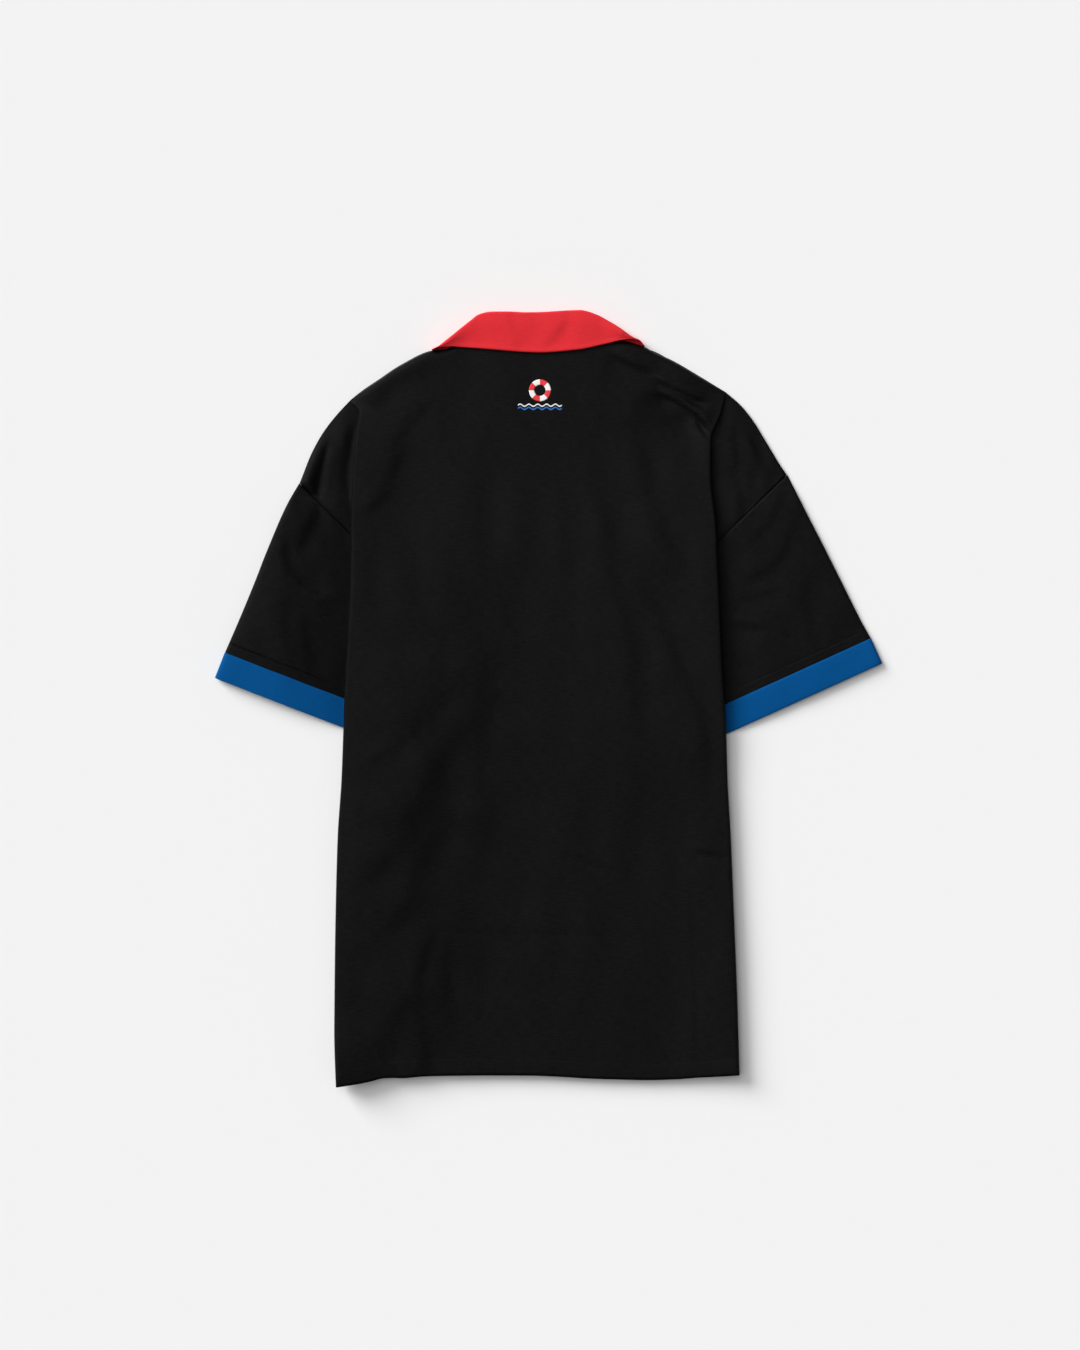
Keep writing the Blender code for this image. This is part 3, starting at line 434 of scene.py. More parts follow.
def bridge_height(x, y):
    """Height of cloth drawn smoothly from the flaps on one side, over the placket, to the
    flaps on the other side."""
    to_left = (CENTRE_X - x) / (CENTRE_X - FLAPS_END[0])
    to_right = (x - CENTRE_X) / (FLAPS_END[1] - CENTRE_X)
    centre = FLOOR + placket_height(CENTRE_X, y, True)
    return centre + (over_flaps(y) - centre) * ramp(np.maximum(to_left, to_right))


def envelope_table():
    """Heights of what lies under the back, on an even grid, spread by a bell curve of the
    envelope's reach, as cloth spans the small steps below it."""
    x = np.arange(-240.0, 222.0, ENVELOPE_PITCH)
    y = np.arange(-420.0, 402.0, ENVELOPE_PITCH)
    gx, gy = np.meshgrid(x, y, indexing="ij")
    heights = np.maximum(stack_height(gx, gy) + placket_height(gx, gy, True),
                         bridge_height(gx, gy))
    heights = np.maximum(heights, FLOOR + UPPER_SPAN)
    offsets = np.arange(-ENVELOPE_SPREAD, ENVELOPE_SPREAD + 1) * ENVELOPE_PITCH
    bell = np.exp(-0.5 * (offsets / ENVELOPE_REACH) ** 2)
    bell /= bell.sum()
    for axis in (0, 1):
        margin = [(ENVELOPE_SPREAD * (axis == k),) * 2 for k in (0, 1)]
        padded = np.pad(heights, margin, mode="edge")
        heights = sum(weight * np.take(padded, np.arange(heights.shape[axis]) + k, axis=axis)
                      for k, weight in enumerate(bell))
    return x, y, heights


ENVELOPE_X, ENVELOPE_Y, ENVELOPE = envelope_table()


def envelope_height(x, y):
    """The envelope at any place, by cubic splines through its grid's heights."""
    x, y = np.broadcast_arrays(x, y)
    parts = []
    for at, grid in ((x, ENVELOPE_X), (y, ENVELOPE_Y)):
        place = np.clip((at - grid[0]) / ENVELOPE_PITCH, 1.0, len(grid) - 3.001)
        whole = place.astype(int)
        t = place - whole
        parts.append((whole, ((1 - t) ** 3 / 6, (3 * t ** 3 - 6 * t ** 2 + 4) / 6,
                              (-3 * t ** 3 + 3 * t ** 2 + 3 * t + 1) / 6, t ** 3 / 6)))
    (ix, wx), (iy, wy) = parts
    total = np.zeros(x.shape)
    for i in range(4):
        for j in range(4):
            total = total + wx[i] * wy[j] * ENVELOPE[ix + i - 1, iy + j - 1]
    return total


def hem_relief(x, y):
    """The hem is turned up twice inside: a step at its stitching, in a slight groove that
    puckers between the stitches."""
    above = y - along(HEM, 0, 1, x)
    doubled = HEM_DOUBLED * ramp((HEM_DEPTH + 2.0 - above) / 4.0)
    groove = -HEM_GROOVE * np.exp(-((above - HEM_DEPTH) / 1.6) ** 2)
    pucker = HEM_PUCKER * np.sin(x / 2.4 + 1.3 * np.sin(x / 11.0)) \
        * ramp((24.0 - above) / 20.0)
    return doubled + groove + pucker


def side_fall(side, y):
    """Distance over which the back settles from a raised side: it grows from SIDE_FALL to
    the side's own, and is shorter beside the neck."""
    grown = ramp((y - side.fall_y) / side.fall_over)
    sooner = 1.0 - SHOULDER_SOONER * ramp((y - SHOULDER_Y) / SHOULDER_OVER)
    return (SIDE_FALL + (side.fall - SIDE_FALL) * grown) * sooner


def back_height(x, y):
    """Middle height of the back: the envelope with its folds, drawn to each raised side by
    a bell curve, never nearer to the fronts than a layer, and rounded down to the upper
    edge by a quarter of a circle."""
    folds = fold_relief(x, y, BACK_FOLDS) + ripples(x, y, 11, (34.0, 95.0), 0.30, 0.5)
    lift = corner_lift(x, y)
    design = envelope_height(x, y) + lift + LAYER + BODY_SLACK + folds
    for side in SIDES:
        away = inwards(side, x, y)
        near = np.exp(-(away / side_fall(side, y)) ** 2)
        kept = 1.0 - 0.5 * np.exp(-(away / 12.0) ** 2)
        design = design + (side_top(side, y) + lift + kept * folds - design) * near
    below = np.clip((along(BACK_TOP, 0, 1, x) - y) / EDGE_EASE, 0.0, 1.0)
    least = front_height(x, y) + placket_height(x, y, True) + LAYER
    above = design - least
    soft = 0.5 * (above + np.sqrt(above ** 2 + 0.36))
    left_far = 1.0 - 0.55 * np.exp(-(inwards(LEFT, x, y) / SIDE_FALL) ** 2)
    return (least + soft * np.sqrt(1.0 - (1.0 - below) ** 2)
            + hem_relief(x, y) * left_far)


def finer(table):
    """A table's columns at even steps in every interval between its rows."""
    rows = len(table)
    numbered = np.column_stack([np.arange(rows), table])
    at = np.linspace(0, rows - 1, (rows - 1) * CAP_STEPS + 1)
    return np.column_stack([along(numbered, 0, k + 1, at) for k in range(table.shape[1])])


def fine_cap(side):
    """The shoulder's rows at finer steps, with a true corner at the armhole's end."""
    return np.concatenate([finer(side.cap[:CAP_CORNER + 1]), finer(side.cap[CAP_CORNER:])[1:]])


def row_sides(pitch):
    """The y of every row on the left and on the right side of the body, and the number of
    the flaps' first row."""
    rows = int(round((LEFT.flap_top - HEM[0, 1]) / pitch)) + 1
    step = int(round((LEFT.cap[-1, 0] - LEFT.flap_top) / pitch))
    lead = np.linspace(0, 1, step + 1)[1:-1]
    found = []
    for side, corner_y in zip(SIDES, (HEM[0, 1], HEM[-1, 1])):
        cap_y = fine_cap(side)[:, 0]
        found.append(np.concatenate([cap_y, cap_y[-1] + (side.flap_top - cap_y[-1]) * lead,
                                     np.linspace(side.flap_top, corner_y, rows)]))
    return *found, len(cap_y) + len(lead)


def body_plan(left_x, right_x, left_y, right_y, share):
    """Plan points of the back: x is a share of the way between the two sides, and y keeps
    the part of the way that its row has at the two sides."""
    x = left_x[:, None] * (1 - share) + right_x[:, None] * share
    down_left = ((left_y[0] - left_y) / (left_y[0] - left_y[-1]))[:, None]
    down_right = ((right_y[0] - right_y) / (right_y[0] - right_y[-1]))[:, None]
    down = down_left * (1 - share) + down_right * share
    start = along(BACK_TOP, 0, 1, x[:1])
    return x, start + (along(HEM, 0, 1, x[-1:]) - start) * down


def turned_side(side, side_y, edge, near, turned, table, shift=0.0, raised=0.0):
    """Columns round a turned side, on from the body's edge: half an ellipse down to the flap
    or, above the armhole, a fold that leans over the shoulder's cloth. 'turned' blends from
    one to the other. The points' y is on the upper edge's table in the first row, and level
    with the body's rows from a little way down."""
    start = side_x(side, side_y)
    low = corner_lift(start, side_y)
    top = edge[:, 2] - low
    flap = np.where(turned > 0, flap_height(side_y), near)
    round_x = FLOOR + ROLL_REACH * (1 - np.cos(ROLL_ANGLES))
    round_z = ((top + flap)[:, None] + (top - flap)[:, None] * np.sin(ROLL_ANGLES)) / 2
    lean = np.clip((top - near) / STEP_LEAN, 0.15, 1.0)[:, None]
    steep_x = STEP_X * np.where(STEP_X < 1.35, lean, 1.0)
    steep_z = near[:, None] + (top - near)[:, None] * STEP_Z
    blend = turned[:, None]
    start = (start + side.sign * shift)[:, None]
    x = start + side.sign * (round_x * blend + steep_x * (1 - blend))
    z = round_z * blend + steep_z * (1 - blend) + low[:, None] + raised
    down = ramp((side_y[0] - side_y) / TOP_BLEND)[:, None]
    below = along(table, 0, 1, x[0])[None, :] - edge[0, 1]
    return np.dstack([x, edge[:, 1:2] + below * (1 - down), z])


def cap_block(roll, cap, edge_height, near_height, swell, columns, creased):
    """Shoulder cloth between the foot of a side's step and its own outer edge, crowned
    across its width and drawn down to the armhole seam."""
    start = roll[:len(cap), -1]
    t = np.linspace(0.0, 1.0, columns)[None, :]
    x = start[:, :1] * (1 - t) + cap[:, 1:2] * t
    y = start[:, 1:2] * (1 - t) + cap[:, 2:3] * t
    width = np.hypot(cap[:, 1] - start[:, 0], cap[:, 2] - start[:, 1])[:, None]
    room = np.minimum(width / CAP_SWELL_WIDTH, 1.0)
    bulge = swell * room * 4.0 * t * (1 - t)
    z = near_height[:len(cap), None] * (1 - t) + edge_height[:, None] * t
    z = np.minimum(z, start[:, 2:3] * (1 - t) + edge_height[:, None] * t) + bulge
    if creased:
        fade = ramp(t / 0.12) * ramp((1 - t) / 0.10) * room
        z = z + fade * (fold_relief(x, y, CAP_FOLDS)
                        + ripples(x, y, 5, (18.0, 42.0), 0.22, 0.5))
        z = np.maximum(z, FLOOR + WALL + 0.4)
    z[:, 0] = start[:, 2]
    block = np.dstack([x, y, z])
    block[0] = start[0]
    return block


def flap_block(side, roll, first, lift_layers, trim, columns, seed):
    """The flap under a turned side, from the roll's foot to the side seam."""
    start = roll[first:, -1]
    y = start[:, 1]
    t = np.linspace(0.0, 1.0, columns)[None, :]
    end = straight(side.seam, 0, 1, y) + trim
    x = start[:, :1] * (1 - t) + end[:, None] * t
    down = ((y[0] - y) / (y[0] - y[-1]))[:, None]
    hidden = along(HEM, 0, 1, x) + HEM_TUCK - y[-1]
    ys = y[:, None] + hidden * ramp(2.0 * t) * down ** 3
    z = flap_height(ys) + lift_layers * LAYER + corner_lift(x, ys)
    z = z + ramp(t / 0.3) * np.maximum(ripples(x, ys, seed, (30.0, 80.0), 0.12), 0.0)
    z[:, 0] = start[:, 2]
    return np.dstack([x, ys, z])


def ring_uv(ring, sign):
    """Cloth coordinates of a turned side: the path round it, on from the body's x, and y."""
    across = np.linalg.norm(np.diff(ring, axis=1), axis=2)
    path = np.concatenate([[0.0], np.cumsum(across[len(across) // 2])])
    shape = ring.shape[:2]
    return np.dstack([np.broadcast_to(ring[0, 0, 0] - sign * path, shape),
                      np.broadcast_to(ring[:, :1, 1], shape)])


def grid_quads(rows, columns, offset=0):
    """The four corners of every face of a grid of points."""
    grid = np.arange(rows * columns).reshape(rows, columns) + offset
    return np.stack([grid[:-1, :-1], grid[:-1, 1:], grid[1:, 1:], grid[1:, :-1]],
                    axis=-1).reshape(-1, 4)


def placed(name, data, location=(0.0, 0.0, 0.0), turn=(0.0, 0.0, 0.0)):
    """A new object in the scene."""
    made = bpy.data.objects.new(name, data)
    made.location, made.rotation_euler = location, turn
    bpy.context.scene.collection.objects.link(made)
    return made


def add_piece(name, points, faces, material, node=None, uv=None, thickness=None, offset=0.0):
    """A smooth mesh from points in millimetres, with its faces turned outwards. It rides on
    the one body, takes its material's slot, and may replace a node, have cloth coordinates
    at its faces' corners, and be given a thickness."""
    data = bpy.data.meshes.new(name)
    data.from_pydata((points * MM).tolist(), [], faces)
    if uv is not None:
        layer = data.uv_layers.new(name="Cloth")
        layer.data.foreach_set("uv", (uv * MM).reshape(-1))
    turned = bmesh.new()
    turned.from_mesh(data)
    bmesh.ops.recalc_face_normals(turned, faces=turned.faces)
    turned.to_mesh(data)
    turned.free()
    data.shade_smooth()
    data.materials.append(material)
    piece = placed(name, data)
    if thickness:
        solidify = piece.modifiers.new("Thickness", "SOLIDIFY")
        solidify.thickness = thickness * MM
        solidify.offset = offset
        solidify.use_even_offset = False
    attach(piece, "root")
    if node:
        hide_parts(node)
    return piece


def cloth_piece(name, blocks, material, node=None, wall=WALL, uvs=None):
    """A closed cloth shell: the grids are merged where they share points, and half the
    wall is added on each side. Faces that a merge leaves with three corners stay."""
    uvs = uvs or [block[:, :, :2] for block in blocks]
    points = np.concatenate([block.reshape(-1, 3) for block in blocks])
    flat = np.concatenate([uv.reshape(-1, 2) for uv in uvs])
    keys = np.round(points / 0.01).astype(np.int64)
    _, first, index = np.unique(keys, axis=0, return_index=True, return_inverse=True)
    starts = np.cumsum([0] + [block.shape[0] * block.shape[1] for block in blocks])
    quads = np.concatenate([grid_quads(*block.shape[:2], start)
                            for block, start in zip(blocks, starts)])
    merged = index.reshape(-1)[quads]
    same = merged == np.roll(merged, 1, axis=1)
    whole = ~same.any(axis=1)
    faces = merged[whole].tolist()
    corners = [quads[whole].reshape(-1)]
    for i in np.flatnonzero(same.sum(axis=1) == 1):
        faces.append(merged[i][~same[i]].tolist())
        corners.append(quads[i][~same[i]])
    return add_piece(name, points[first], faces, material, node,
                     flat[np.concatenate(corners)], wall)


def make_back(material):
    """The back panel: body, turned sides, shoulder ends and flaps, on fine grids."""
    *side_rows, caps = row_sides(3.3)
    plan_x = [side_x(side, y) + side.sign * (FLOOR + ROLL_REACH)
              for side, y in zip(SIDES, side_rows)]
    x, y = body_plan(*plan_x, *side_rows, np.linspace(0.0, 1.0, 121)[None, :])
    main = np.dstack([x, y, back_height(x, y)])
    blocks, uvs = [main], [np.dstack([x, y])]
    for side, side_y, column in zip(SIDES, side_rows, (0, -1)):
        edge, cap = main[:, column], fine_cap(side)
        near = np.minimum(2 * LAYER + CAP_LIFT, edge[:, 2])
        turned = ramp((cap[-1, 0] - side_y) / TURN_LENGTH)
        roll = turned_side(side, side_y, edge, near, turned, BACK_TOP)
        ring = np.concatenate([edge[:, None], roll], axis=1)
        corner = CAP_CORNER * CAP_STEPS
        from_corner = np.hypot(*(cap[:, 1:] - cap[corner, 1:]).T)
        from_corner[:corner] = 0.0
        shown = ramp(-inwards(side, cap[:, 1], cap[:, 2]) / SEAM_FADE)
        rise = FLOOR + LAYER + side.seam_rise * shown * ramp(from_corner / CORNER_RUN)
        blocks += [ring, cap_block(roll, cap, rise, near, side.swell, 26, True),
                   flap_block(side, roll, caps, 0, 0.0, 14, 21 + side.sign)]
        uvs += [ring_uv(ring, side.sign), blocks[-2][:, :, :2], blocks[-1][:, :, :2]]
    return cloth_piece("back_cloth", blocks, material, "back", uvs=uvs)


def back_room(x, y):
    """Free height between the front and the back at the same place."""
    return np.maximum(back_height(x, y) - front_height(x, y) - placket_height(x, y, True)
                      - LAYER, 0.0)


def make_front(side, material):
    """One front, from its edge at the placket to its flap inside the back's turned side."""
    sign, cap = side.sign, fine_cap(side)
    *side_rows, caps = row_sides(6.5)
    side_y = side_rows[SIDES.index(side)]
    turned_x = side_x(side, side_y)
    across = np.array([0, 3, 9, 15, 21, 27, 33, 36, 40, 44, 48, 52, 56, 60, 64, 70], float)
    strip = CENTRE_X + sign * PLACKET_HALF - sign * across
    above_flap = (side_y - side_y[caps] - ARMHOLE_SHIFT_UP) / ARMHOLE_SHIFT_REACH
    shift = INNER_ROLL_SHIFT + ARMHOLE_SHIFT * np.exp(-above_flap ** 2)
    body_x = turned_x + sign * (FLOOR + ROLL_REACH + shift)
    t = np.linspace(0.0, 1.0, 24)[None, 1:]
    x = np.concatenate([np.broadcast_to(strip, (len(side_y), len(strip))),
                        strip[-1] * (1 - t) + body_x[:, None] * t], axis=1)
    down = ((side_y[0] - side_y) / (side_y[0] - side_y[-1]))[:, None]
    start = along(FRONT_TOP, 0, 1, x[:1])
    y = start + (along(HEM, 0, 1, x[-1:]) + HEM_TUCK - start) * down
    clear = ramp((np.abs(x - CENTRE_X) - 36.0) / 20.0) \
        * ramp((x - turned_x[:, None]) * sign / 30.0)
    creases = np.clip(fold_relief(x, y, FRONT_FOLDS), 0.0, 1.2)
    z = front_height(x, y) + placket_height(x, y, sign < 0) \
        + clear * creases * (1 - np.exp(-(back_room(x, y) / 1.5) ** 2))
    main = np.dstack([x, y, z])
    edge = main[:, -1]
    near = np.minimum(FLOOR, edge[:, 2])
    turned = ramp((side.cap[-2, 0] - side_y) / (side.cap[-2, 0] - side_y[caps]))
    share = np.linspace(0.0, 1.0, len(ROLL_ANGLES))[None, :] ** ROLL_RAISE_POWER
    roll = turned_side(side, side_y, edge, near, turned, FRONT_TOP, shift,
                       LAYER * share * turned[:, None])
    ring = np.concatenate([edge[:, None], roll], axis=1)
    blocks = [main, ring,
              cap_block(roll, cap, np.full(len(cap), FLOOR), near, 0.0, 10, False),
              flap_block(side, roll, caps, 1, -sign * 2.5, 12, 31 + sign)]
    uvs = [main[:, :, :2], ring_uv(ring, sign), blocks[2][:, :, :2], blocks[3][:, :, :2]]
    node = f"front_{side.name}"
    return cloth_piece(f"{node}_cloth", blocks, material, node, uvs=uvs)


def resample(line, count):
    """Points at even steps along a smooth curve through a line's points."""
    steps = np.hypot(*np.diff(line, axis=0).T)
    run = np.concatenate([[0.0], np.cumsum(steps)])
    at = np.linspace(0.0, run[-1], count)
    table = np.column_stack([run, line])
    return np.column_stack([along(table, 0, 1, at), along(table, 0, 2, at)])


def square_to(direction):
    """The unit direction in the plan that is square to another and points up the shirt."""
    up = np.array([-direction[1], direction[0]]) / math.hypot(*direction)
    return -up if up[1] < 0 else up


def along_band(side):
    """The unit direction of the band's lower edge, from its outer corner inwards."""
    return np.array([math.cos(side.band_slope), math.sin(side.band_slope)])


def band_ends(side, depth):
    """Outer and inner point of the line that lies 'depth' above the band's lower edge."""
    outer = side.band_corner + square_to(along_band(side)) * depth
    return outer, outer + along_band(side) * BAND_WIDTH


def puff_height(side, x, y, from_edge):
    """Rise of a sleeve's upper layer outside the body: one less a power of the part of the
    distance that is still to come, waving a little, and lower at the outer edge."""
    puff, rise = side.puff
    share = 1 - (1 - np.clip(outside(side, x, y) / rise, 0, 1)) ** PUFF_POWER
    swell = 0.85 + 0.15 * np.sin(y / 27.0 + x / 39.0)
    return puff * share * swell * (1.0 - 0.08 * np.exp(-from_edge / 9.0))


def tube_block(side, outer, inner, wall, pressed, relief):
    """Rings of a flattened tube: over the upper layer, round the inner edge, back along
    the table and round the outer edge. The upper layer is low under the body and puffed
    outside it."""
    t_top = np.linspace(0.0, 1.0, 56)[None, :]
    t_low = np.linspace(1.0, 0.0, 26)[None, :]
    low = wall / 2
    span = inner - outer
    length = np.hypot(*span.T)[:, None]
    inset = TUBE_ROUND / length

    def place(t):
        along_ring = inset + t * (1 - 2 * inset)
        return outer[:, None, :] + span[:, None, :] * along_ring[:, :, None]

    top, bottom = place(t_top), place(t_low)
    tx, ty = top[:, :, 0], top[:, :, 1]
    shown = ramp(outside(side, tx, ty) / SEAM_FADE)
    z_top = pressed + relief(tx, ty, shown, puff_height(side, tx, ty, t_top * length))
    z_top = np.maximum(z_top, low + wall + 0.35)
    angles = np.radians(np.linspace(90.0, -90.0, 7))[1:-1]
    rings = [np.dstack([top, z_top])]
    for edge, z_edge, into, order in ((inner, z_top[:, -1], -1, 1), (outer, z_top[:, 0], 1, -1)):
        out = (TUBE_ROUND * (1.0 - np.cos(angles[::order])))[None, :, None] - 0.2
        spot = edge[:, None, :] + into * span[:, None, :] / length[:, :, None] * out
        middle, half = (z_edge + low) / 2, (z_edge - low) / 2
        z = middle[:, None] + half[:, None] * np.sin(angles[::order])[None, :]
        rings.append(np.dstack([spot, z]))
        if order == 1:
            rings.append(np.dstack([bottom, np.full(bottom.shape[:2], low)]))
    rings.append(rings[0][:, :1])
    return np.concatenate(rings, axis=1)


def tube_uv(block):
    """Cloth coordinates of a tube: round the ring for u and down the tube for v."""
    across = np.linalg.norm(np.diff(block, axis=1), axis=2)
    u = np.concatenate([np.zeros((len(block), 1)), np.cumsum(across, axis=1)], axis=1)
    down = np.linalg.norm(np.diff(block[:, 20], axis=0), axis=1)
    v = np.concatenate([[0.0], np.cumsum(down)])[:, None]
    return np.dstack([u, np.broadcast_to(v, u.shape)])


def sleeve_lines(side, start):
    """The outer and the inner ends of a sleeve's rings, from its start at the armhole. The
    last rings are parallel to the band and close together, for the step above it."""
    fine = np.linspace(STEP_ZONE, 0.0, 26)
    up = square_to(along_band(side))
    top_outer, top_inner = band_ends(side, BAND_DEPTH + SEAM)
    edge = np.concatenate([start[:1], side.sleeve_edge[1:-1], [top_outer]])
    ends = []
    for curve in (resample(edge, 400), np.linspace(start[1], top_inner, 400)):
        above = (curve - top_outer) @ up
        at = np.interp(-fine, -above, np.arange(len(curve)))
        rows = np.concatenate([np.linspace(0.0, at[0], 72)[:-1], at])
        ends.append(np.column_stack([np.interp(rows, np.arange(len(curve)), curve[:, k])
                                     for k in (0, 1)]))
    return ends


def make_sleeve(side, material):
    """A short sleeve from the armhole seam to its band, with its creases, and a low step
    where the seam with the band is turned up inside; and the armhole's seam allowance."""
    armhole, corner, band_up = side.armhole, side.band_corner, square_to(along_band(side))
    seam_length = math.hypot(*(armhole[1] - armhole[0]))
    seam_run = (armhole[1] - armhole[0]) / seam_length
    seam_up = square_to(seam_run)

    def relief(x, y, shown, puffed):
        from_band = (x - corner[0]) * band_up[0] + (y - corner[1]) * band_up[1] - BAND_DEPTH
        from_seam = -((x - armhole[0][0]) * seam_up[0] + (y - armhole[0][1]) * seam_up[1])
        step = side.step * (ramp((9.4 - from_band) / 1.2)
                            - 1.1 * np.exp(-((from_band - 9.8) / 0.9) ** 2))
        from_corner = (x - armhole[0][0]) * seam_run[0] + (y - armhole[0][1]) * seam_run[1]
        at_seam = side.seam_rise * shown * ramp(from_corner / CORNER_RUN)
        puffed = puffed + (at_seam - puffed) * (1 - ramp(from_seam / SEAM_ZONE))
        drawn = -0.2 * np.exp(-(from_seam / 1.4) ** 2)
        soft = fold_relief(x, y, SLEEVE_FOLDS) + ripples(x, y, 3, (24.0, 66.0), 0.25, 0.8)
        return puffed + shown * (step + drawn
                                 + soft * ramp(from_band / 14.0) * ramp(from_seam / 9.0))

    ends = sleeve_lines(side, armhole - seam_up * (SEAM + SLEEVE_START))
    block = tube_block(side, *ends, WALL, SLEEVE_PRESSED, relief)
    node = f"sleeve_{side.name}"
    sleeve = cloth_piece(f"{node}_cloth", [block], material, node, uvs=[tube_uv(block)])
    t = np.linspace(0.0, 1.0, 40)[:, None]
    width = np.linspace(-6.0, 3.5, 6)[None, :]
    run = armhole[0] + (armhole[1] - armhole[0]) * (0.012 + 0.96 * t)
    x, y = run[:, :1] - seam_up[0] * width, run[:, 1:] - seam_up[1] * width
    shown = ramp(outside(side, x, y) / SEAM_FADE) * ramp(t * seam_length / CORNER_RUN)
    strip = np.dstack([x, y, 1.3 + side.seam_rise * shown - 0.1 * ramp(width / 3.0)])
    return sleeve, cloth_piece(f"{node}_allowance", [strip], material, wall=STRIP_WALL)


def make_band(side, material, inside):
    """A sleeve band: a short tube of doubled cloth whose lower edge is folded; and the seam
    allowance under its upper edge."""
    depths = np.array([BAND_DEPTH, BAND_DEPTH - 0.9, 24, 20, 16, 12, 8, 4, 1.6, 0.5, 0.0])
    ends = np.array([band_ends(side, depth) for depth in depths])
    rolled = 0.45 * np.exp(-depths / 0.9) + 0.4 * np.exp(-(BAND_DEPTH - depths) / 0.9)

    def relief(x, y, shown, puffed):
        return puffed + shown * ripples(x, y, 8, (22.0, 60.0), 0.22) - rolled[:, None]

    block = tube_block(side, ends[:, 0], ends[:, 1], BAND_WALL, SLEEVE_PRESSED + 0.5, relief)
    node = f"band_{side.name}"
    band = cloth_piece(f"{node}_cloth", [block], material, node, BAND_WALL, [tube_uv(block)])
    depths = BAND_DEPTH + np.array([4.0, 2.0, 0.5, -0.5, -2.0, -4.0])
    ends = np.array([band_ends(side, depth) for depth in depths])
    t = np.linspace(0.02, 0.98, 70)[None, :, None]
    plan = ends[:, None, 0] * (1 - t) + ends[:, None, 1] * t
    x, y = plan[:, :, 0], plan[:, :, 1]
    z = SLEEVE_PRESSED + puff_height(side, x, y, t[:, :, 0] * BAND_WIDTH) - 0.75
    return band, cloth_piece(f"{node}_allowance", [np.dstack([x, y, z])], inside, wall=0.3)


def make_collar(material):
    """The collar: the fall on the back, its rolled upper edge and the leaves underneath.
    The fall's edge is turned in, so it is a little thicker, and the crown is uneven."""
    x = np.linspace(COLLAR[0, 0], COLLAR[-1, 0], 190)
    fold = along(COLLAR, 0, 1, x) - WALL / 2
    fall = along(COLLAR, 0, 2, x)
    leaf = along(COLLAR, 0, 3, x)
    depth = fold - fall
    reach = np.minimum(COLLAR_ROLL, 0.45 * depth)
    on_back = np.maximum(back_height(x, fall), back_height(x, fall - COLLAR_LOOK)) \
        + LAYER + COLLAR_GAP
    on_back = np.convolve(np.pad(on_back, 6, mode="edge"), np.ones(13) / 13, "valid")
    crest = on_back + np.minimum(COLLAR_RISE, 0.3 * depth)
    rows = []
    down = ramp(depth / 20.0)
    for t in np.linspace(0.0, 0.8, 22):
        y = fall + (fold - reach - fall) * t
        from_edge = y - fall
        turned_edge = 0.18 * ramp((4.2 - from_edge) / 1.4) - 0.30 * np.exp(-from_edge / 0.7)
        soft = (ripples(x, y * 0.35, 17, (16.0, 44.0), 0.25)
                + fold_relief(x, y, COLLAR_FOLDS)) * ramp(t / 0.25) * down
        z = on_back + (crest - on_back) * ramp(t) + turned_edge * down + soft
        rows.append((y, z))
    free = np.maximum(fold - reach - along(BACK_TOP, 0, 1, x) - 2.0, 0.0)
    half = (crest - FLOOR) / 2
    half = half + (COLLAR_HALF - half) * ramp(free / 10.0)
    for angle in np.radians(np.linspace(90.0, -90.0, 18)):
        out = fold - reach * (1 - math.cos(angle))
        rows.append((out, crest - half + half * math.sin(angle)
                     + soft * max(math.sin(angle), 0.0)))
    lowest = crest - 2 * half - FLOOR
    for t in np.linspace(0.0, 1.0, 32)[1:] ** 1.6:
        y = fold - reach + (leaf - fold + reach) * t
        rows.append((y, FLOOR + lowest * (1 - ramp((fold - reach - y) / (0.9 * free + 0.1)))))
    block = np.array([np.column_stack([x, y, z]) for y, z in rows]).transpose(1, 0, 2)
    along_x = np.broadcast_to(x[:, None], block.shape[:2])
    path = np.linalg.norm(np.diff(block, axis=1), axis=2)
    path = np.concatenate([np.zeros((len(x), 1)), np.cumsum(path, axis=1)], axis=1)
    return cloth_piece("collar_cloth", [block], material, "collar",
                       uvs=[np.dstack([along_x, path])])


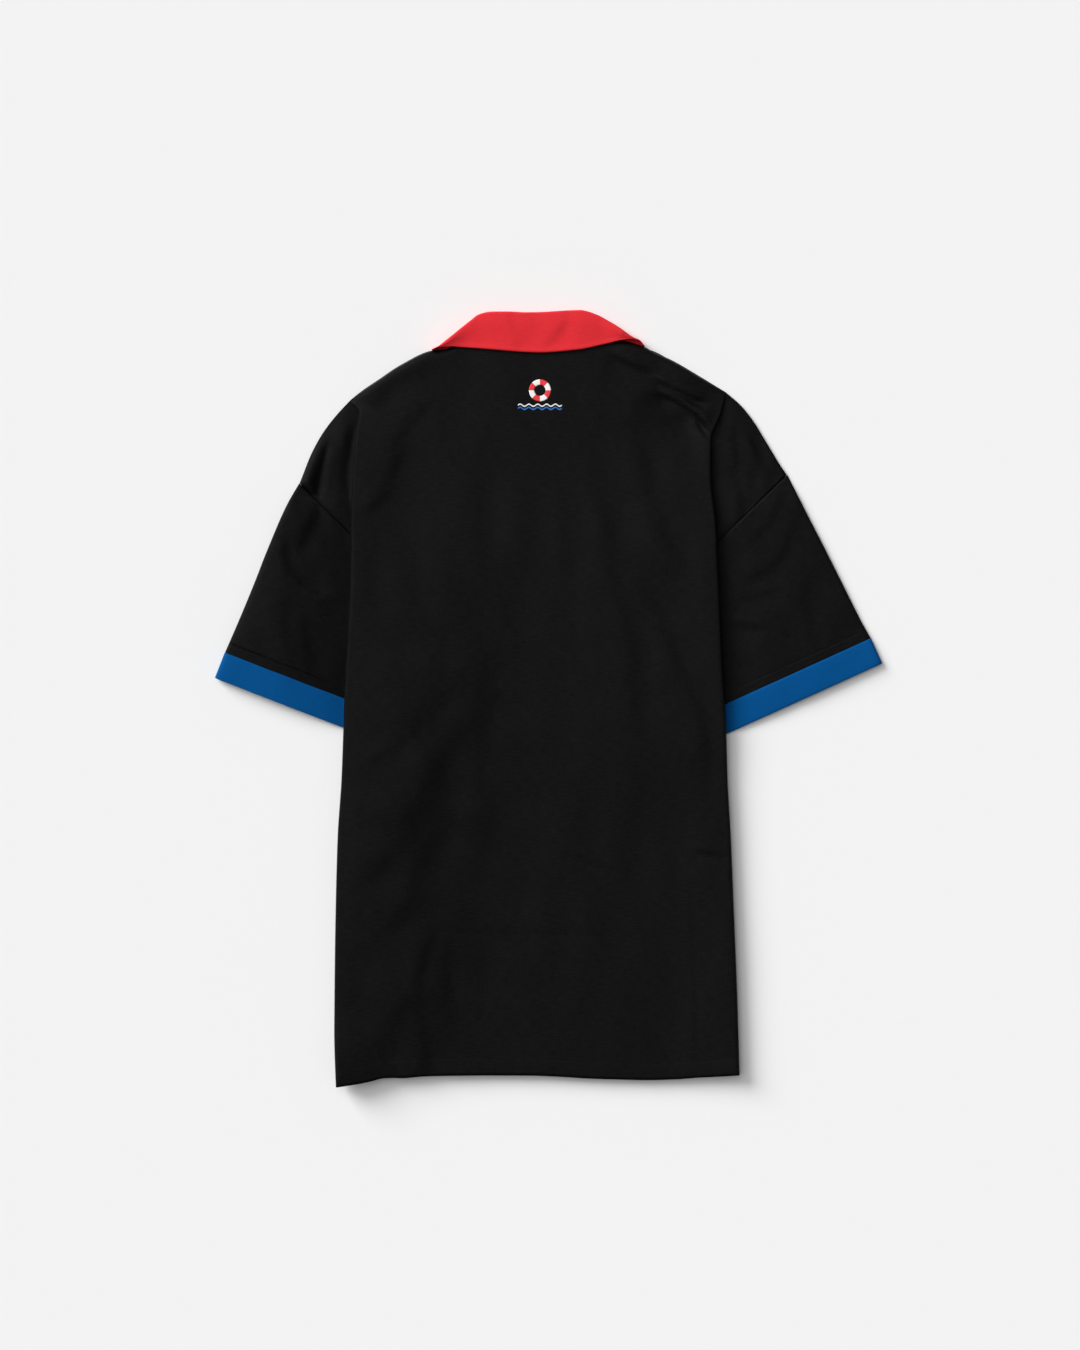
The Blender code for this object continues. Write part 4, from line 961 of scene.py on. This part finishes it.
def make_buttons(material):
    """Six four-hole buttons: a turned profile with a raised rim and a dished middle, and
    four round pits worked into its face. Rings of radius by angle, closed at both poles."""
    angle = np.linspace(0, 2 * math.pi, 48, endpoint=False)
    face = np.concatenate([np.linspace(0.0, 3.2, 17)[1:], [3.6, 4.0, 4.4, 4.9, 5.3, 5.6]])
    radii = np.concatenate([face, [BUTTON_RADIUS, BUTTON_RADIUS, 5.6, 5.2, 3.0]])
    dish = 0.55 * ramp((4.4 - face) / 1.0)
    rim = 0.25 * ramp((face - 5.2) / 0.4)
    low = np.concatenate([dish + rim, [0.5, 1.9, 2.2, BUTTON_HEIGHT, BUTTON_HEIGHT]])
    x, y = radii[:, None] * np.cos(angle), radii[:, None] * np.sin(angle)
    on_face = (np.arange(len(radii)) < len(face))[:, None]
    z = np.broadcast_to(low[:, None], x.shape)
    for sx in (-HOLE_OFF, HOLE_OFF):
        for sy in (-HOLE_OFF, HOLE_OFF):
            z = z + on_face * 1.1 * ramp((HOLE_RADIUS - np.hypot(x - sx, y - sy)) / 0.25)
    poles = [[0.0, 0.0, dish[0]], [0.0, 0.0, BUTTON_HEIGHT]]
    one = np.concatenate([np.stack([x, y, z], axis=-1).reshape(-1, 3), poles])
    count, rings = len(angle), len(radii)
    grid = np.arange(rings * count).reshape(rings, count)
    nxt = np.roll(grid, -1, axis=1)
    faces = np.stack([grid[:-1], nxt[:-1], nxt[1:], grid[1:]], axis=-1).reshape(-1, 4).tolist()
    faces += [(rings * count, b, a) for a, b in zip(grid[0], nxt[0])]
    faces += [(rings * count + 1, a, b) for a, b in zip(grid[-1], nxt[-1])]
    for number in range(BUTTON_COUNT):
        spot = [CENTRE_X, BUTTON_TOP_Y - BUTTON_PITCH * number, 0.0]
        add_piece(f"shirt_button_{number + 1}", one + spot, faces, material,
                  f"button_{number + 1}")


def stitch_row(name, line, height, material):
    """Short threads along a line: each is a sunk spindle of six sides, whose ends dip into
    the cloth. 'height' gives the cloth's face at a place."""
    run = np.concatenate([[0.0], np.cumsum(np.hypot(*np.diff(line, axis=0).T))])

    def on_line(at):
        return np.column_stack([np.interp(at, run, line[:, k]) for k in (0, 1)])

    at = np.arange(STITCH_PITCH / 2, run[-1], STITCH_PITCH)
    places = on_line(at)
    directions = on_line(at + 0.5) - on_line(at - 0.5)
    directions = directions / np.hypot(*directions.T)[:, None]
    t = np.array([-0.5, -0.38, -0.15, 0.15, 0.38, 0.5]) * STITCH_LENGTH
    wide = np.array([0.35, 0.85, 1.0, 1.0, 0.85, 0.35]) * STITCH_RADIUS
    sunk = np.array([-0.26, -0.05, 0.06, 0.06, -0.05, -0.26])
    angle = np.linspace(0, 2 * math.pi, 6, endpoint=False)
    sides = np.column_stack([-directions[:, 1], directions[:, 0]])
    across = wide[:, None] * np.cos(angle)[None, :]
    centre = places[:, None, :] + directions[:, None, :] * t[None, :, None]
    spot = centre[:, :, None, :] + sides[:, None, None, :] * across[None, :, :, None]
    face = height(centre[:, :, 0], centre[:, :, 1]) + sunk[None, :]
    z = face[:, :, None] + (wide[:, None] * np.sin(angle)[None, :])[None]
    points = np.concatenate([spot, z[..., None]], axis=-1).reshape(-1, 3)
    grid = np.arange(len(t) * len(angle)).reshape(len(t), len(angle))
    nxt = np.roll(grid, -1, axis=1)
    quads = np.stack([grid[:-1], grid[1:], nxt[1:], nxt[:-1]], axis=-1).reshape(-1, 4)
    shift = (np.arange(len(places)) * grid.size)[:, None, None]
    faces = (quads[None] + shift).reshape(-1, 4).tolist()
    for end in (grid[0], grid[-1][::-1]):
        faces += (end[None] + shift[:, :, 0]).tolist()
    return add_piece(name, points, faces, material)


def film(name, grids, material):
    """Printed film on the back: grids of plan points laid on the cloth's outer face."""
    points, faces, offset = [], [], 0
    for x, y in grids:
        z = back_height(x, y) + WALL / 2 + 0.10
        points.append(np.stack([x, y, z], axis=-1).reshape(-1, 3))
        faces += grid_quads(*x.shape, offset).tolist()
        offset += x.size
    return add_piece(name, np.concatenate(points), faces, material, thickness=FILM,
                     offset=-1.0)


def ring_sector(centre, inner, outer, start, end):
    """A part of a flat ring: radius by angle."""
    radius = np.linspace(inner, outer, 6)[:, None]
    angle = np.radians(np.linspace(start, end, 22))[None, :]
    return centre[0] + radius * np.cos(angle), centre[1] + radius * np.sin(angle)


def wave_strip(x0, x1, y, rise, length, thick):
    """A strip of even thickness along a sine wave."""
    x = np.linspace(x0, x1, 70)[None, :]
    across = np.linspace(-0.5, 0.5, 4)[:, None] * thick
    return (np.broadcast_to(x, (4, 70)),
            y + rise * np.sin(2 * math.pi * (x - x0) / length) + across)


class Finish:
    """A material with a Principled shader, and short calls that add nodes to it."""

    def __init__(self, name, roughness, specular):
        self.material = bpy.data.materials.new(name)
        self.material.use_nodes = True
        self.tree = self.material.node_tree
        self.shader = self.tree.nodes["Principled BSDF"]
        self.shader.inputs["Roughness"].default_value = roughness
        self.shader.inputs["Specular IOR Level"].default_value = specular

    def node(self, kind, inputs=(), **values):
        """A node, with its values and with its inputs set or linked."""
        made = self.tree.nodes.new(kind)
        for key, value in values.items():
            setattr(made, key, value)
        for key, value in dict(inputs).items():
            if isinstance(value, bpy.types.NodeSocket):
                self.tree.links.new(value, made.inputs[key])
            else:
                made.inputs[key].default_value = value
        return made

    def maths(self, operation, *values):
        return self.node("ShaderNodeMath", enumerate(values), operation=operation).outputs[0]

    def noise(self, vector, scale, detail):
        return self.node("ShaderNodeTexNoise", {"Vector": vector, "Scale": scale,
                                                "Detail": detail}).outputs["Fac"]

    def finish(self, colour, height, strength, distance):
        """The shader's colour, and its normal from a height."""
        self.tree.links.new(colour, self.shader.inputs["Base Color"])
        relief = self.node("ShaderNodeBump", {"Strength": strength, "Distance": distance,
                                              "Height": height})
        self.tree.links.new(relief.outputs["Normal"], self.shader.inputs["Normal"])
        return self.material


def cloth_material(name, colour, roughness, gloss, sheen, contrast, mottle, bump):
    """Plain woven cotton: warp and weft threads from two sine waves in cloth coordinates,
    with uneven threads and a faint mottle."""
    made = Finish(name, roughness, gloss)
    made.shader.inputs["Sheen Weight"].default_value = sheen
    made.shader.inputs["Sheen Roughness"].default_value = 0.45
    maths = made.maths
    uv = made.node("ShaderNodeUVMap", uv_map="Cloth").outputs["UV"]
    parts = made.node("ShaderNodeSeparateXYZ", {0: uv})
    warp, weft = (maths("SINE", maths("MULTIPLY", parts.outputs[axis], 2 * math.pi / THREAD))
                  for axis in "XY")
    ridges = maths("ADD", maths("MULTIPLY", maths("ABSOLUTE", warp), 0.5),
                   maths("MULTIPLY", maths("ABSOLUTE", weft), 0.5))
    weave = maths("ADD", maths("MULTIPLY", maths("MULTIPLY", warp, weft), 0.35), ridges)
    slubs = []
    for stretch, share in (((1.0, 0.12, 1.0), 0.6), ((0.12, 1.0, 1.0), 1.4)):
        mapping = made.node("ShaderNodeMapping", {"Scale": stretch, "Vector": uv})
        slubs.append(maths("MULTIPLY", made.noise(mapping.outputs[0], 900.0, 2.0), share))
    uneven = maths("ADD", *slubs)
    shade = maths("MULTIPLY", maths("MULTIPLY_ADD", maths("SUBTRACT", weave, 0.5), contrast, 1.0),
                  maths("MULTIPLY_ADD", maths("SUBTRACT", uneven, 1.0), mottle, 1.0))
    grey = made.node("ShaderNodeCombineXYZ", {0: shade, 1: shade, 2: shade})
    tint = made.node("ShaderNodeMix", data_type="RGBA", blend_type="MULTIPLY")
    tint.inputs[0].default_value = 1.0
    tint.inputs["A"].default_value = (*colour, 1.0)
    made.tree.links.new(grey.outputs[0], tint.inputs["B"])
    return made.finish(tint.outputs["Result"], maths("ADD", weave, maths("MULTIPLY", uneven, 0.6)),
                       bump, 0.00012)


def plain_material(name, colour, roughness, specular, grain, scale):
    """One finish with a fine grain in its colour and relief, in object coordinates."""
    made = Finish(name, roughness, specular)
    place = made.node("ShaderNodeTexCoord").outputs["Object"]
    noise = made.noise(place, scale, 3.0)
    tones = made.node("ShaderNodeValToRGB", {"Fac": noise})
    for element, share in zip(tones.color_ramp.elements, (1 - grain, 1 + grain)):
        element.color = (*[min(part * share, 1.0) for part in colour], 1.0)
    return made.finish(tones.outputs["Color"], noise, 0.2, 0.0001)


# Camera, straight above as in the photograph: one millimetre to a pixel of 1080 by 1350.
VIEW_CENTRE = (-0.009, 0.023)
VIEW_HEIGHT = 1.35
CLOTH_TOP = 0.008
LENS, SENSOR = 85.0, 36.0
camera_data = bpy.data.cameras.new("Camera")
camera_data.lens = LENS
camera_data.sensor_width = SENSOR
camera_data.sensor_fit = "AUTO"
bpy.context.scene.camera = placed(
    "Camera", camera_data, (*VIEW_CENTRE, VIEW_HEIGHT * LENS / SENSOR + CLOTH_TOP))
bpy.context.scene.view_settings.view_transform = "Standard"

# Name, colour, roughness, gloss, sheen, contrast of the weave, mottle, relief.
black = cloth_material("black_cotton", (0.0037, 0.0036, 0.0038), 0.46, 0.048, 0.0, 0.35, 1.5, 0.6)
red = cloth_material("red_cotton", (0.70, 0.028, 0.037), 0.85, 0.06, 0.02, 0.22, 0.16, 0.45)
blue = cloth_material("blue_cotton", (0.0012, 0.067, 0.222), 0.85, 0.04, 0.0, 0.22, 0.22, 0.45)
# Name, colour, roughness, specular level, grain and its scale.
thread = plain_material("black_thread", (0.006, 0.006, 0.0063), 0.6, 0.1, 0.3, 2500.0)
resin = plain_material("button_resin", (0.012, 0.012, 0.013), 0.28, 0.5, 0.15, 700.0)
white_print, red_print, blue_print = (
    plain_material(name, colour, 0.6, 0.3, grain, 1800.0) for name, colour, grain in (
        ("print_white", (0.80, 0.80, 0.78), 0.04), ("print_red", (0.70, 0.03, 0.04), 0.08),
        ("print_blue", (0.02, 0.13, 0.42), 0.08)))
paper = plain_material("floor_paper", (0.83, 0.83, 0.83), 0.9, 0.1, 0.0, 5.0)

back = make_back(black)
fronts = [make_front(side, black) for side in SIDES]
sleeves = [make_sleeve(side, black) for side in SIDES]
bands = [make_band(side, blue, black) for side in SIDES]
collar = make_collar(red)
make_buttons(resin)
hem_x = np.linspace(-200.0, 180.0, 160)
hem_stitches = stitch_row(
    "hem_stitches", np.column_stack([hem_x, along(HEM, 0, 1, hem_x) + HEM_DEPTH]),
    lambda x, y: back_height(x, y) + WALL / 2, thread)

# A ship's lifebuoy over waves is printed below the collar.
BUOY = (-9.0, 307.5)
sectors = [ring_sector(BUOY, 5.6, 11.0, start, start + 45.0) for start in range(0, 360, 45)]
motif_white = film("motif_white", sectors[0::2] + [wave_strip(-31, 13, 292.6, 1.1, 8.8, 1.3)],
                   white_print)
motif_red = film("motif_red", sectors[1::2], red_print)
motif_blue = film("motif_blue", [wave_strip(-31, 13, 289.4, 1.1, 8.8, 1.5)], blue_print)

# Pale floor, just clear of the cloth's underside, one soft key light from the upper left,
# one overhead, and even light all round.
FLOOR_HALF = 40.0
FLOOR_LEVEL = -0.0002
floor_data = bpy.data.meshes.new("floor")
floor_data.from_pydata([(sx * FLOOR_HALF, sy * FLOOR_HALF, FLOOR_LEVEL)
                        for sx, sy in ((-1, -1), (1, -1), (1, 1), (-1, 1))], [], [(0, 1, 2, 3)])
floor_data.materials.append(paper)
placed("floor", floor_data)

world = bpy.data.worlds.new("World")
world.use_nodes = True
background = world.node_tree.nodes["Background"]
background.inputs["Color"].default_value = (1.0, 1.0, 1.0, 1.0)
background.inputs["Strength"].default_value = 0.17
bpy.context.scene.world = world
for light_name, strength, spread, lean, turn in (
        ("Key", 3.73, 34.0, 62.0, 52.0), ("Overhead", 1.17, 48.0, 20.0, 52.0)):
    light_data = bpy.data.lights.new(light_name, "SUN")
    light_data.energy = strength
    light_data.angle = math.radians(spread)
    placed(light_name, light_data, (-1.0, 1.0, 2.0),
           (math.radians(-lean), 0.0, math.radians(turn)))
